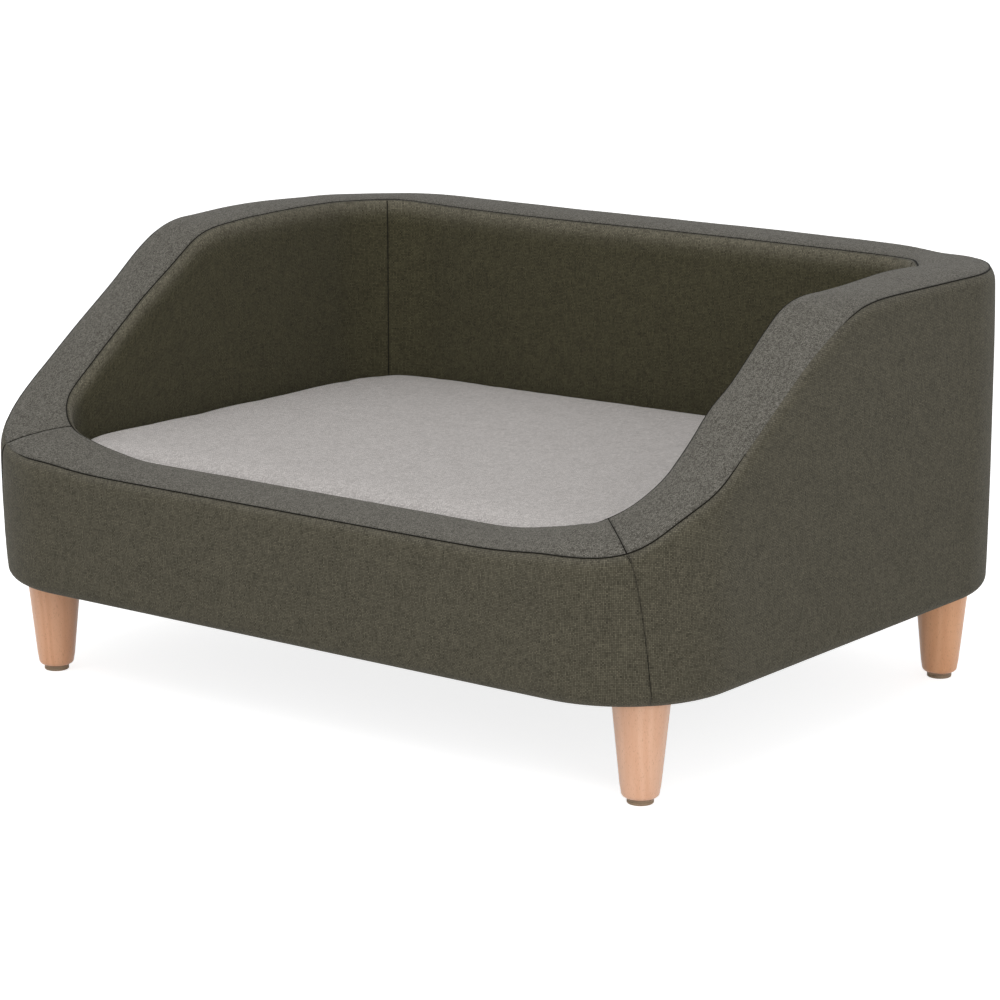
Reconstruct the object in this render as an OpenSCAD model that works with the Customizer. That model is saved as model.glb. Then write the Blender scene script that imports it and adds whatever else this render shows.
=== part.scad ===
/* [Body] */
// Overall width of the upholstered body
body_w = 720; // [600:10:900]
// Overall depth of the upholstered body
body_d = 560; // [480:10:700]
// Height of the front rail's outer seam above the underside of the body
rail_h = 107; // [90:1:130]
// Height of the arms' top seams above the underside of the body
arm_h = 273; // [230:1:330]
// How much lower the back's seams lie than the arms' shoulders
back_fall = 4; // [0:1:8]
// How much higher the rail's inner seam lies than its outer seam
rail_tilt = 5; // [0:1:8]
// Distance from the front face to the shoulder of each arm
shoulder_setback = 260; // [220:1:310]
// Fall of each arm's sloping edge, in degrees
slope_angle = 33.8; // [28:0.1:40]
// Radius of the bend at each arm's shoulder
shoulder_r = 90; // [40:1:110]
// Radius of the bend where each arm runs out into the front rail
toe_r = 200; // [150:1:260]
// Outer corner radius at the front
front_corner_r = 100; // [80:1:115]
// Outer corner radius at the back
back_corner_r = 108; // [90:1:125]
// Inner corner radius at the back
back_well_r = 70; // [50:1:85]
// Thickness of the padded walls
wall_t = 56; // [48:1:68]

/* [Cover and padding] */
// Thickness of the woven cover with its backing
cloth_t = 2; // [1.5:0.1:2.5]
// Thickness of the foam sheet outside the boards
outer_foam_t = 6; // [4:0.5:8]
// Thickness of the foam strip along the tops of the walls
rim_foam_t = 14; // [10:0.5:18]
// Rise of the rim between its two seams
rim_crown = 2.5; // [1:0.1:5]
// Distance that the outer seam is set in from the face
outer_seam_set = 1.5; // [0.5:0.1:3]
// Distance that the inner seam is set back from the inner wall
inner_seam_set = 4; // [2:0.5:6]
// Height over which the inner wall rolls back to its seam
inner_roll_h = 16; // [10:1:20]
// Radius of the rolled lower edge
hem_r = 13; // [10:0.5:16]
// Width of cover turned under the base board past the roll
hem_turn = 16; // [12:1:20]
// Thickness of the non-woven cloth under the base board
dust_t = 1; // [0.5:0.1:1.5]
// Distance from the face to the edge of the non-woven cloth
dust_set = 22; // [18:1:28]
// Thickness of the cloth on the deck
deck_cloth_t = 1.5; // [1:0.1:2]
// Glue line between neighbouring layers
glue_gap = 0.3; // [0.25:0.05:0.4]

/* [Frame] */
// Thickness of the plywood boards
board_t = 15; // [12:0.5:18]
// Diameter of the wooden dowels
dowel_d = 8; // [6:1:8]
// Length of the wooden dowels
dowel_l = 30; // [24:1:36]
// Shank diameter of the frame screws
screw_d = 4; // [3:0.5:5]
// Length of the frame screws
screw_l = 40; // [32:1:50]
// Head diameter of the frame screws
screw_head_d = 8; // [7:0.5:10]
// Height of the countersunk screw heads
screw_head_h = 3; // [2:0.5:4]
// Radial clearance of fixings in their holes
hole_gap = 0.1; // [0.05:0.05:0.2]

/* [Legs] */
// Length of the wooden legs
leg_l = 83; // [65:1:110]
// Leg diameter at the top
leg_top_d = 47; // [40:1:54]
// Leg diameter at the bottom
leg_foot_d = 30; // [26:1:36]
// Radius of the rounded lower edge of a leg
leg_round_r = 4; // [2:0.5:6]
// Distance from the body's side to each leg's axis
leg_side_inset = 52; // [44:1:64]
// Distance from the body's front or back to each leg's axis
leg_end_inset = 59; // [48:1:70]
// Thickness of the glides
glide_t = 5; // [4:0.5:7]
// Diameter of the glides
glide_d = 21; // [18:0.5:25]
// Rounding of the lower edge of a glide
glide_round_r = 1.5; // [0.5:0.1:2]

/* [Leg fixings] */
// Thread diameter of the hanger bolts and tee nuts
bolt_d = 8; // [6:1:8]
// Depth of the hanger bolts in the legs
bolt_leg_l = 38; // [30:1:45]
// Diameter of the wood thread of the hanger bolts
bolt_wood_d = 7; // [5:0.5:7]
// Length of the hanger bolts' pointed tips
bolt_tip_l = 6; // [4:1:8]
// Outer diameter of the tee nuts' barrels
tee_barrel_d = 10.5; // [10:0.1:12.5]
// Length of the tee nuts' barrels under the flange
tee_barrel_l = 9; // [7:0.5:10]
// Diameter of the tee nuts' flanges
tee_flange_d = 22; // [18:1:25]
// Thickness of the tee nuts' flanges
tee_flange_t = 1.6; // [1:0.1:2]
// Shank diameter of the glide nails
nail_d = 2.5; // [2:0.1:3]
// Depth of the glide nails in the legs
nail_l = 14; // [10:1:18]
// Head diameter of the glide nails
nail_head_d = 6; // [5:0.5:8]
// Thickness of the glide nails' heads
nail_head_t = 1.2; // [0.8:0.1:1.5]
// Depth of the head's seat above the floor face of the glide
nail_seat_h = 1.5; // [1:0.1:2]

/* [Staples] */
// Width of a staple's crown
staple_w = 10; // [8:1:12]
// Thickness of the staple wire
staple_t = 0.7; // [0.5:0.1:0.9]
// Length of a staple's prongs
staple_l = 8; // [6:1:10]
// Distance from the face to the row of staples
staple_set = 25; // [23:0.5:26]
// Largest distance between staples
staple_pitch = 48; // [30:1:60]

/* [Mattress] */
// Height of the mattress at its edge, without the crown
mattress_h = 87; // [70:1:100]
// Rise of the mattress's top in the middle
mattress_crown = 4.5; // [2:0.5:10]
// Gap between the mattress and the inner walls
mattress_gap = 1; // [0.6:0.1:2]
// How far the straight sides are drawn in between the corners
side_draw = 1.5; // [0.5:0.1:3]
// How far the boxing is drawn in at half its height
boxing_draw = 9; // [8:0.5:10]
// Thickness of the mattress cloth
mattress_cloth_t = 1.5; // [1:0.1:2]
// Height of the padded top panel above its seam
top_roll_h = 12; // [8:0.5:16]
// Gap around the foam block inside the cover
foam_gap = 0.4; // [0.3:0.1:0.6]

/* [Zip] */
// Distance from each end of the zip to the mattress's rounded corner
zip_end_gap = 14; // [8:1:60]
// Width of the zip's two tapes together
zip_tape_w = 26; // [22:1:30]
// Thickness of the zip tapes
zip_tape_t = 0.8; // [0.5:0.1:1]
// Width of the closed coil
zip_coil_w = 5; // [4:0.5:6]
// Thickness of the closed coil
zip_coil_t = 1.4; // [1:0.1:1.8]
// Length of the slider
slider_l = 11; // [9:0.5:13]
// Width of the slider
slider_w = 9; // [8:0.5:10]
// Thickness of the slider's top plate
slider_t = 1; // [0.8:0.1:1.2]
// Running clearance of the slider on the coil
slider_gap = 0.3; // [0.2:0.05:0.4]
// Length of the pull from its pin
pull_l = 16; // [12:1:18]
// Width of the pull
pull_w = 6; // [5:0.5:7]
// Thickness of the pull
pull_t = 1; // [0.8:0.1:1.2]
// Diameter of the pull's pin
pull_pin_d = 1; // [0.8:0.1:1.2]
// Radial clearance of the pull on its pin
pin_gap = 0.08; // [0.05:0.01:0.1]

/* [Hidden] */

cover_colour = [0.31, 0.30, 0.26];
rim_colour = [0.38, 0.37, 0.34];
inner_colour = [0.25, 0.24, 0.19];
mattress_colour = [0.66, 0.64, 0.62];
beech_colour = [0.86, 0.70, 0.55];
plywood_colour = [0.80, 0.68, 0.48];
foam_colour = [0.93, 0.90, 0.78];
steel_colour = [0.70, 0.70, 0.68];
glide_colour = [0.52, 0.49, 0.43];
black_colour = [0.09, 0.09, 0.09];
zip_colour = [0.45, 0.44, 0.42];

round_fn = 96;
// Overrun of a cut past the face that it opens
overrun = 1;

// Levels, from the floor up
body_z = leg_l + glide_t;
hem_z = body_z + dust_t;
base_z = hem_z + cloth_t + glue_gap;
deck_z = base_z + board_t;
deck_cloth_z = deck_z + glue_gap;
bed_z = deck_cloth_z + deck_cloth_t + glue_gap;
rail_z = body_z + rail_h;
arm_z = body_z + arm_h;

// Distances from the outer face into the wall
outer_foam_set = cloth_t + glue_gap;
board_set = outer_foam_set + outer_foam_t + glue_gap;
inner_foam_set = board_set + board_t + glue_gap;
inner_foam_end = wall_t - cloth_t - 2 * glue_gap;
rim_foam_set = outer_seam_set + cloth_t + glue_gap;
rim_foam_end = wall_t - inner_seam_set - cloth_t - glue_gap;
rim_band_end = wall_t - inner_seam_set;
hem_inner_r = hem_r - cloth_t;
base_set = hem_r + 2 * glue_gap - sqrt(pow(hem_inner_r, 2) - pow(hem_inner_r - glue_gap, 2));
front_well_r = front_corner_r - wall_t;

// Depth of each layer's top below the rim's surface
rim_foam_drop = cloth_t + glue_gap;
support_drop = rim_foam_drop + rim_foam_t + 2 * glue_gap;

// Corner centres and the ends of the straight runs, on the right half
front_run_x = body_w / 2 - front_corner_r;
side_run_front_y = -body_d / 2 + front_corner_r;
side_run_back_y = body_d / 2 - back_corner_r;
back_run_x = body_w / 2 - back_corner_r;
well_front_y = -body_d / 2 + wall_t;
well_back_y = body_d / 2 - wall_t;
well_x = body_w / 2 - wall_t;
shoulder_y = -body_d / 2 + shoulder_setback;

// The mitre across the rim at each front corner, as angles from the side to the front
mitre_outer_angle = 52.5;
mitre_inner_angle = 72;
mitre_steps = 5;
slope_steps = 7;
back_steps = 12;
shoulder_steps = 6;
front_run_shares = [0, 0.25, 0.5, 0.7, 0.85, 1];
slope_run_shares = [0.35, 0.7];
back_run_shares = [0.5, 0];

function lerp(a, b, t) = a + (b - a) * t;
function around(centre, r, angle) = centre + r * [cos(angle), sin(angle)];

// Height of a seam where the unrolled side panel has the coordinate s, above a front that lands at low
function slope_z(s, low) =
    let (shoulder_tangent = shoulder_r * tan(slope_angle / 2), toe_tangent = toe_r * tan(slope_angle / 2),
        toe_y = shoulder_y - (arm_z - low) / tan(slope_angle))
    s < toe_y - toe_tangent ? low
    : s < toe_y + toe_tangent * cos(slope_angle)
        ? low + toe_r - sqrt(pow(toe_r, 2) - pow(s - toe_y + toe_tangent, 2))
    : s < shoulder_y - shoulder_tangent * cos(slope_angle) ? low + (s - toe_y) * tan(slope_angle)
    : s < shoulder_y + shoulder_tangent
        ? arm_z - shoulder_r + sqrt(pow(shoulder_r, 2) - pow(shoulder_y + shoulder_tangent - s, 2))
    : arm_z;
function fall(y) = back_fall * max(0, y - shoulder_y) / (body_d / 2 - shoulder_y);
function outer_z(s, y) = slope_z(s, rail_z) - fall(y);
function inner_z(s, y) = slope_z(s, rail_z + rail_tilt) - fall(y);

// A station holds the outer point, its outward normal, the inner point and both seam heights
function station(outer, normal, inner, outer_s, inner_s) =
    [outer, normal, inner, outer_z(outer_s, outer[1]), inner_z(inner_s, outer[1])];
function mirrored(st) =
    [[-st[0][0], st[0][1]], [-st[1][0], st[1][1]], [-st[2][0], st[2][1]], st[3], st[4]];
function unrolled(r, angle) = side_run_front_y - r * angle * PI / 180;

front_corner = [front_run_x, side_run_front_y];
back_corner = [back_run_x, side_run_back_y];
back_well_corner = [well_x - back_well_r, well_back_y - back_well_r];

function front_station(share) =
    let (x = share * front_run_x, rest = front_run_x - x)
    station([x, -body_d / 2], [0, -1], [x, well_front_y],
        unrolled(front_corner_r, 90) - rest, unrolled(front_well_r, 90) - rest);
function front_corner_station(angle, inner_angle) =
    station(around(front_corner, front_corner_r, -angle), around([0, 0], 1, -angle),
        around(front_corner, front_well_r, -inner_angle),
        unrolled(front_corner_r, angle), unrolled(front_well_r, inner_angle));
function side_station(y) =
    station([body_w / 2, y], [1, 0], [well_x, min(y, back_well_corner[1])], y, y);
function back_corner_station(angle) =
    station(around(back_corner, back_corner_r, angle), around([0, 0], 1, angle),
        around(back_well_corner, back_well_r, angle), body_d, body_d);
function back_station(share) =
    station([share * back_run_x, body_d / 2], [0, 1], [share * back_well_corner[0], well_back_y],
        body_d, body_d);

shoulder_start_y = shoulder_y - shoulder_r * tan(slope_angle / 2) * cos(slope_angle);
shoulder_end_y = shoulder_y + shoulder_r * tan(slope_angle / 2);
shoulder_ys = [for (i = [0:shoulder_steps])
    shoulder_end_y - shoulder_r * sin(slope_angle * (1 - i / shoulder_steps))];
side_ys = concat([for (share = slope_run_shares) lerp(side_run_front_y, shoulder_start_y, share)],
    shoulder_ys, [lerp(shoulder_end_y, side_run_back_y, 1 / 2), side_run_back_y]);

// Stations of the right half, from the middle of the front round to the middle of the back
half_stations = concat(
    [for (share = front_run_shares) front_station(share)],
    [for (i = [1:mitre_steps]) front_corner_station(lerp(90, mitre_outer_angle, i / mitre_steps),
        lerp(90, mitre_inner_angle, i / mitre_steps))],
    [for (i = [1:slope_steps]) front_corner_station(lerp(mitre_outer_angle, 0, i / slope_steps),
        lerp(mitre_inner_angle, 0, i / slope_steps))],
    [for (y = side_ys) side_station(y)],
    [for (i = [1:back_steps]) back_corner_station(90 * i / back_steps)],
    [for (share = back_run_shares) back_station(share)]);
mitre_index = len(front_run_shares) - 1 + mitre_steps;
last_index = len(half_stations) - 1;
back_seam_index = last_index - len(back_run_shares) - back_steps / 2;

function span(from, to) = [for (i = [from:to]) half_stations[i]];
function left_span(from, to) = [for (i = [to:-1:from]) mirrored(half_stations[i])];
front_stations = concat(left_span(1, mitre_index), span(0, mitre_index));
right_stations = span(mitre_index, back_seam_index);
left_stations = left_span(mitre_index, back_seam_index);
back_stations = concat(span(back_seam_index, last_index), left_span(back_seam_index, last_index - 1));
arm_and_back_stations = concat(span(mitre_index, last_index), left_span(mitre_index, last_index - 1));

// Places on a station: set in from the face along the normal, then across to the inner outline
function set_in(st, inset) = st[0] - st[1] * inset;
function across(st, inset) = inset <= inner_foam_set ? set_in(st, inset)
    : lerp(set_in(st, inner_foam_set), st[2], (inset - inner_foam_set) / (wall_t - inner_foam_set));
function at(place, z) = [place[0], place[1], z];
function seam_z(st, inset) = lerp(st[3], st[4], inset / wall_t);
function crown_z(st, inset) =
    let (share = (inset - outer_seam_set) / (rim_band_end - outer_seam_set))
    seam_z(st, inset) + rim_crown * 4 * share * (1 - share);

// A solid between two like sheets of points, a and b, each a list of rows along the stations
module sheet_solid(a, b, ring = false) {
    rows = len(a);
    m = len(a[0]);
    both = [for (k = [0:rows - 1]) each concat(a[k], b[k])];
    function pa(k, i) = (k % rows) * 2 * m + i;
    function pb(k, i) = (k % rows) * 2 * m + m + i;
    last = ring ? rows - 1 : rows - 2;
    faces = concat(
        [for (k = [0:last], i = [0:m - 2]) each [[pa(k, i), pa(k, i + 1), pa(k + 1, i + 1)],
            [pa(k, i), pa(k + 1, i + 1), pa(k + 1, i)], [pb(k, i), pb(k + 1, i + 1), pb(k, i + 1)],
            [pb(k, i), pb(k + 1, i), pb(k + 1, i + 1)]]],
        [for (k = [0:last]) each [[pa(k, 0), pa(k + 1, 0), pb(k + 1, 0)], [pa(k, 0), pb(k + 1, 0), pb(k, 0)],
            [pa(k, m - 1), pb(k, m - 1), pb(k + 1, m - 1)],
            [pa(k, m - 1), pb(k + 1, m - 1), pa(k + 1, m - 1)]]],
        ring ? [] : [for (i = [0:m - 2]) each [[pa(0, i), pb(0, i), pb(0, i + 1)],
            [pa(0, i), pb(0, i + 1), pa(0, i + 1)],
            [pa(rows - 1, i), pb(rows - 1, i + 1), pb(rows - 1, i)],
            [pa(rows - 1, i), pa(rows - 1, i + 1), pb(rows - 1, i + 1)]]]);
    polyhedron(both, faces);
}

hem_steps = 8;
// Insets across a rim strip, bent where the inner part of the wall begins
rim_outer_bend = lerp(outer_seam_set, inner_foam_set, 1 / 2);
rim_inner_bend = lerp(inner_foam_set, rim_band_end, 1 / 2);
function rim_insets(from, to) = [from, rim_outer_bend, inner_foam_set, rim_inner_bend, to];
// Each pair is the share of the seam's set and of the roll's height, from the wall up to the seam
inner_roll_shares = [[0, 1], [0.2, 0.6], [0.55, 0.25], [1, 0]];

module outer_cover(stations) {
    color(cover_colour) sheet_solid(
        [for (st = stations) concat(
            [at(set_in(st, hem_r + hem_turn), hem_z)],
            [for (i = [0:hem_steps]) let (angle = 90 * i / hem_steps)
                at(set_in(st, hem_r - hem_r * sin(angle)), hem_z + hem_r - hem_r * cos(angle))],
            [at(set_in(st, 0), st[3] - inner_roll_h / 2),
            at(set_in(st, outer_seam_set), st[3] - cloth_t - glue_gap)])],
        [for (st = stations) concat(
            [at(set_in(st, hem_r + hem_turn), hem_z + cloth_t)],
            [for (i = [0:hem_steps]) let (angle = 90 * i / hem_steps)
                at(set_in(st, hem_r - hem_inner_r * sin(angle)), hem_z + hem_r - hem_inner_r * cos(angle))],
            [at(set_in(st, cloth_t), st[3] - inner_roll_h / 2),
            at(set_in(st, outer_seam_set + cloth_t), st[3] - cloth_t - glue_gap)])]);
}

function inner_top_z(st) = seam_z(st, rim_band_end - cloth_t) - cloth_t - glue_gap;

module inner_cover(stations) {
    color(inner_colour) sheet_solid(
        [for (st = stations) concat([at(across(st, wall_t - cloth_t), deck_cloth_z)],
            [for (s = inner_roll_shares) at(across(st, wall_t - cloth_t - inner_seam_set * s[0]),
                inner_top_z(st) - inner_roll_h * s[1])])],
        [for (st = stations) concat([at(across(st, wall_t), deck_cloth_z)],
            [for (s = inner_roll_shares) at(across(st, wall_t - inner_seam_set * s[0]),
                inner_top_z(st) - inner_roll_h * s[1])])]);
}

module rim_band(stations) {
    insets = rim_insets(outer_seam_set, rim_band_end);
    color(rim_colour) sheet_solid(
        [for (st = stations) [for (inset = insets) at(across(st, inset), crown_z(st, inset))]],
        [for (st = stations) [for (inset = insets) at(across(st, inset), crown_z(st, inset) - cloth_t)]]);
}

module rim_foam(stations) {
    insets = rim_insets(rim_foam_set, rim_foam_end);
    color(foam_colour) sheet_solid(
        [for (st = stations) [for (inset = insets) at(across(st, inset), crown_z(st, inset) - rim_foam_drop)]],
        [for (st = stations) [for (inset = insets)
            at(across(st, inset), seam_z(st, inset) - rim_foam_drop - rim_foam_t)]]);
}

module wall_foam(stations, insets, bottom) {
    color(foam_colour) sheet_solid(
        [for (st = stations) [for (inset = insets) at(across(st, inset), seam_z(st, inset) - support_drop)]],
        [for (st = stations) [for (inset = insets) at(across(st, inset), bottom)]]);
}

module outer_foam(stations) {
    wall_foam(stations, [outer_foam_set, outer_foam_set + outer_foam_t], hem_z + hem_r);
}

module inner_foam(stations) {
    wall_foam(stations, [inner_foam_set, rim_inner_bend, rim_foam_end, inner_foam_end], deck_z + glue_gap);
}

// Plan of the body at an inset from its face
module body_plan(inset) {
    front_r = front_corner_r - inset;
    back_r = back_corner_r - inset;
    half_w = body_w / 2 - inset;
    half_d = body_d / 2 - inset;
    for (side = [-1, 1]) {
        translate([side * front_run_x, side_run_front_y]) circle(front_r, $fn = round_fn);
        translate([side * back_run_x, side_run_back_y]) circle(back_r, $fn = round_fn);
    }
    translate([-front_run_x, -half_d]) square([2 * front_run_x, front_r]);
    translate([-back_run_x, side_run_back_y]) square([2 * back_run_x, back_r]);
    translate([-half_w, side_run_front_y]) square([2 * half_w, side_run_back_y - side_run_front_y]);
}

// Places of the fixings, on the body's plan
leg_x = body_w / 2 - leg_side_inset;
leg_y = body_d / 2 - leg_end_inset;
leg_places = [[-leg_x, -leg_y], [leg_x, -leg_y], [-leg_x, leg_y], [leg_x, leg_y]];
board_middle = board_set + board_t / 2;
screw_shares = [-0.75, -0.25, 0.25, 0.75];
side_screw_shares = [0.12, 0.5, 0.88];
screw_places = concat(
    [for (s = screw_shares) [s * front_run_x, -body_d / 2 + board_middle]],
    [for (s = screw_shares) [s * back_run_x, body_d / 2 - board_middle]],
    [for (side = [-1, 1], s = side_screw_shares)
        [side * (body_w / 2 - board_middle), lerp(side_run_front_y, side_run_back_y, s)]],
    [for (side = [-1, 1]) let (p = around(front_corner, front_corner_r - board_middle, -45))
        [side * p[0], p[1]]],
    [for (side = [-1, 1]) let (p = around(back_corner, back_corner_r - board_middle, 45))
        [side * p[0], p[1]]]);

// Dowels lie level across the joints of boards and formers: place, direction and height
function side_top_z(y) = slope_z(y, rail_z) - fall(y) - support_drop;
rail_board_top = rail_z - support_drop;
back_board_top = arm_z - back_fall - support_drop;
function dowel_row(place, angle, top, shares) =
    [for (s = shares) [place[0], place[1], lerp(deck_z, top, s), angle]];
low_dowel_shares = [0.25, 0.75];
tall_dowel_shares = [0.15, 0.5, 0.85];
dowel_places = [for (side = [-1, 1]) each concat(
    dowel_row([side * front_run_x, -body_d / 2 + board_middle], 90, rail_board_top, low_dowel_shares),
    dowel_row([side * (body_w / 2 - board_middle), side_run_front_y], 0,
        side_top_z(side_run_front_y) - dowel_d, low_dowel_shares),
    dowel_row([side * (body_w / 2 - board_middle), side_run_back_y], 0, back_board_top, tall_dowel_shares),
    dowel_row([side * back_run_x, body_d / 2 - board_middle], 90, back_board_top, tall_dowel_shares))];

module dowels(gap = 0) {
    for (p = dowel_places) translate([p[0], p[1], p[2]]) rotate([90, 0, p[3]])
        cylinder(h = dowel_l + 2 * gap, d = dowel_d + 2 * gap, center = true, $fn = round_fn);
}

module screws(gap = 0) {
    for (p = screw_places) translate([p[0], p[1], base_z]) {
        cylinder(h = screw_l + gap, d = screw_d + 2 * gap, $fn = round_fn);
        cylinder(h = screw_head_h + gap, d1 = screw_head_d + 2 * gap, d2 = screw_d + 2 * gap, $fn = round_fn);
    }
}

module frame_holes() {
    dowels(hole_gap);
    screws(hole_gap);
}

module base_board() {
    color(plywood_colour) difference() {
        translate([0, 0, base_z]) linear_extrude(board_t) body_plan(base_set);
        translate([0, 0, -hole_gap]) screws(hole_gap);
        for (p = leg_places) translate([p[0], p[1], 0]) {
            translate([0, 0, base_z - overrun])
                cylinder(h = board_t + 2 * overrun, d = tee_barrel_d + 2 * hole_gap, $fn = round_fn);
            translate([0, 0, deck_z - tee_flange_t - hole_gap])
                cylinder(h = tee_flange_t + overrun, d = tee_flange_d + 2 * hole_gap, $fn = round_fn);
        }
    }
}

module front_rail_board() {
    color(plywood_colour) difference() {
        translate([-front_run_x, -body_d / 2 + board_set, deck_z])
            cube([2 * front_run_x, board_t, rail_board_top - deck_z]);
        frame_holes();
    }
}

module back_board() {
    color(plywood_colour) difference() {
        translate([-back_run_x, body_d / 2 - board_set - board_t, deck_z])
            cube([2 * back_run_x, board_t, back_board_top - deck_z]);
        frame_holes();
    }
}

module side_board(side) {
    ys = concat([side_run_front_y], side_ys);
    near = side * (body_w / 2 - board_middle) - board_t / 2;
    color(plywood_colour) difference() {
        translate([near, 0, 0]) rotate([90, 0, 90]) linear_extrude(board_t)
            polygon(concat([[side_run_back_y, deck_z], [side_run_front_y, deck_z]],
                [for (y = ys) [y, side_top_z(y)]]));
        frame_holes();
    }
}

module corner_former(side, centre, r, start, top) {
    translate([side * centre[0], centre[1], deck_z]) rotate([0, 0, start])
        rotate_extrude(angle = 90, $fn = round_fn) translate([r - board_set - board_t, 0])
            square([board_t, top - deck_z]);
}

// The front formers are cut to the fall of the rim, as it stands over their inner faces
former_steps = 9;
module front_former(side) {
    former_r = front_corner_r - board_set - board_t;
    tops = [for (i = [0:former_steps]) let (angle = 90 * i / former_steps)
        [side_run_front_y - former_r * sin(angle),
        outer_z(unrolled(front_corner_r, angle), side_run_front_y) - support_drop]];
    front = side_run_front_y - front_corner_r;
    color(plywood_colour) difference() {
        intersection() {
            corner_former(side, front_corner, front_corner_r, side > 0 ? -90 : 180, tops[0][1]);
            translate([-body_w / 2, 0, 0]) rotate([90, 0, 90]) linear_extrude(body_w)
                polygon(concat([[front, 0], [side_run_front_y, 0]], tops, [[front, tops[former_steps][1]]]));
        }
        frame_holes();
    }
}

module back_former(side) {
    color(plywood_colour) difference() {
        corner_former(side, back_corner, back_corner_r, side > 0 ? 0 : 90, back_board_top);
        frame_holes();
    }
}

module deck_cloth() {
    color(black_colour) translate([0, 0, deck_cloth_z]) linear_extrude(deck_cloth_t)
        well_plan(glue_gap);
}

// Plan of the well inside the walls, drawn in by an inset
module well_plan(inset) {
    half_w = well_x - inset;
    half_d = well_back_y - inset;
    front_r = front_well_r - inset;
    back_r = back_well_r - inset;
    for (side = [-1, 1]) {
        translate([side * front_run_x, side_run_front_y]) circle(front_r, $fn = round_fn);
        translate([side * back_well_corner[0], back_well_corner[1]]) circle(back_r, $fn = round_fn);
    }
    translate([-front_run_x, -half_d]) square([2 * front_run_x, front_r]);
    translate([-back_well_corner[0], back_well_corner[1]]) square([2 * back_well_corner[0], back_r]);
    translate([-half_w, side_run_front_y]) square([2 * half_w, back_well_corner[1] - side_run_front_y]);
}

module dust_cover() {
    color(black_colour) difference() {
        translate([0, 0, body_z]) linear_extrude(dust_t) body_plan(dust_set);
        for (p = leg_places) translate([p[0], p[1], body_z - overrun])
            cylinder(h = dust_t + 2 * overrun, d = bolt_d + 2 * hole_gap, $fn = round_fn);
    }
}

module staple(angle) {
    rotate([0, 0, angle]) {
        translate([-staple_w / 2, -staple_t / 2, body_z - staple_t]) cube([staple_w, staple_t, staple_t]);
        for (side = [-1, 1]) translate([side * (staple_w - staple_t) / 2 - staple_t / 2, -staple_t / 2,
            body_z - staple_t]) cube([staple_t, staple_t, staple_l]);
    }
}

function row(length) = let (n = ceil(length / staple_pitch)) [for (i = [0:n]) lerp(-1, 1, i / n) * length / 2];

// Staples in the corners keep clear of the legs
corner_staple_angles = [12, 78];

module hem_staples() {
    color(steel_colour) {
        for (x = row(2 * front_run_x)) translate([x, -body_d / 2 + staple_set, 0]) staple(0);
        for (x = row(2 * back_run_x)) translate([x, body_d / 2 - staple_set, 0]) staple(0);
        for (side = [-1, 1], y = row(side_run_back_y - side_run_front_y))
            translate([side * (body_w / 2 - staple_set), y + (side_run_back_y + side_run_front_y) / 2, 0])
                staple(90);
        for (side = [-1, 1], angle = corner_staple_angles) {
            f = around(front_corner, front_corner_r - staple_set, -angle);
            b = around(back_corner, back_corner_r - staple_set, angle);
            translate([side * f[0], f[1], 0]) staple(side * (90 - angle));
            translate([side * b[0], b[1], 0]) staple(side * (angle - 90));
        }
    }
}

module leg(place) {
    foot_r = leg_foot_d / 2;
    slope = (leg_top_d - leg_foot_d) / 2 / leg_l;
    color(beech_colour) translate([place[0], place[1], glide_t]) difference() {
        rotate_extrude($fn = round_fn) difference() {
            polygon([[0, 0], [foot_r, 0], [leg_top_d / 2, leg_l], [0, leg_l]]);
            translate([foot_r + leg_round_r * slope - leg_round_r, 0]) difference() {
                translate([0, -overrun]) square([leg_round_r + overrun, leg_round_r + overrun]);
                translate([0, leg_round_r]) circle(leg_round_r, $fn = round_fn);
            }
        }
        translate([0, 0, leg_l - bolt_leg_l - hole_gap])
            cylinder(h = bolt_leg_l + overrun, d = bolt_wood_d + 2 * hole_gap, $fn = round_fn);
        translate([0, 0, -overrun])
            cylinder(h = nail_l + overrun + hole_gap, d = nail_d + 2 * hole_gap, $fn = round_fn);
    }
}

module hanger_bolts() {
    color(steel_colour) for (p = leg_places) translate([p[0], p[1], body_z]) {
        cylinder(h = deck_z - body_z - tee_flange_t, d = bolt_d, $fn = round_fn);
        translate([0, 0, -bolt_leg_l + bolt_tip_l])
            cylinder(h = bolt_leg_l - bolt_tip_l, d = bolt_wood_d, $fn = round_fn);
        translate([0, 0, -bolt_leg_l])
            cylinder(h = bolt_tip_l, d1 = bolt_wood_d / 4, d2 = bolt_wood_d, $fn = round_fn);
    }
}

module tee_nuts() {
    color(steel_colour) for (p = leg_places) translate([p[0], p[1], deck_z]) difference() {
        union() {
            translate([0, 0, -tee_flange_t]) cylinder(h = tee_flange_t, d = tee_flange_d, $fn = round_fn);
            translate([0, 0, -tee_flange_t - tee_barrel_l])
                cylinder(h = tee_barrel_l, d = tee_barrel_d, $fn = round_fn);
        }
        translate([0, 0, -tee_flange_t - tee_barrel_l - overrun])
            cylinder(h = tee_barrel_l + tee_flange_t + 2 * overrun, d = bolt_d + 2 * hole_gap, $fn = round_fn);
    }
}

module glide(place) {
    r = glide_d / 2;
    color(glide_colour) translate([place[0], place[1], 0]) difference() {
        rotate_extrude($fn = round_fn) {
            translate([0, glide_round_r]) square([r, glide_t - glide_round_r]);
            square([r - glide_round_r, glide_t]);
            translate([r - glide_round_r, glide_round_r]) circle(glide_round_r, $fn = round_fn);
        }
        translate([0, 0, -overrun])
            cylinder(h = glide_t + 2 * overrun, d = nail_d + 2 * hole_gap, $fn = round_fn);
        translate([0, 0, -overrun]) cylinder(h = nail_seat_h + nail_head_t + hole_gap + overrun,
            d = nail_head_d + 2 * hole_gap, $fn = round_fn);
    }
}

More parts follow.
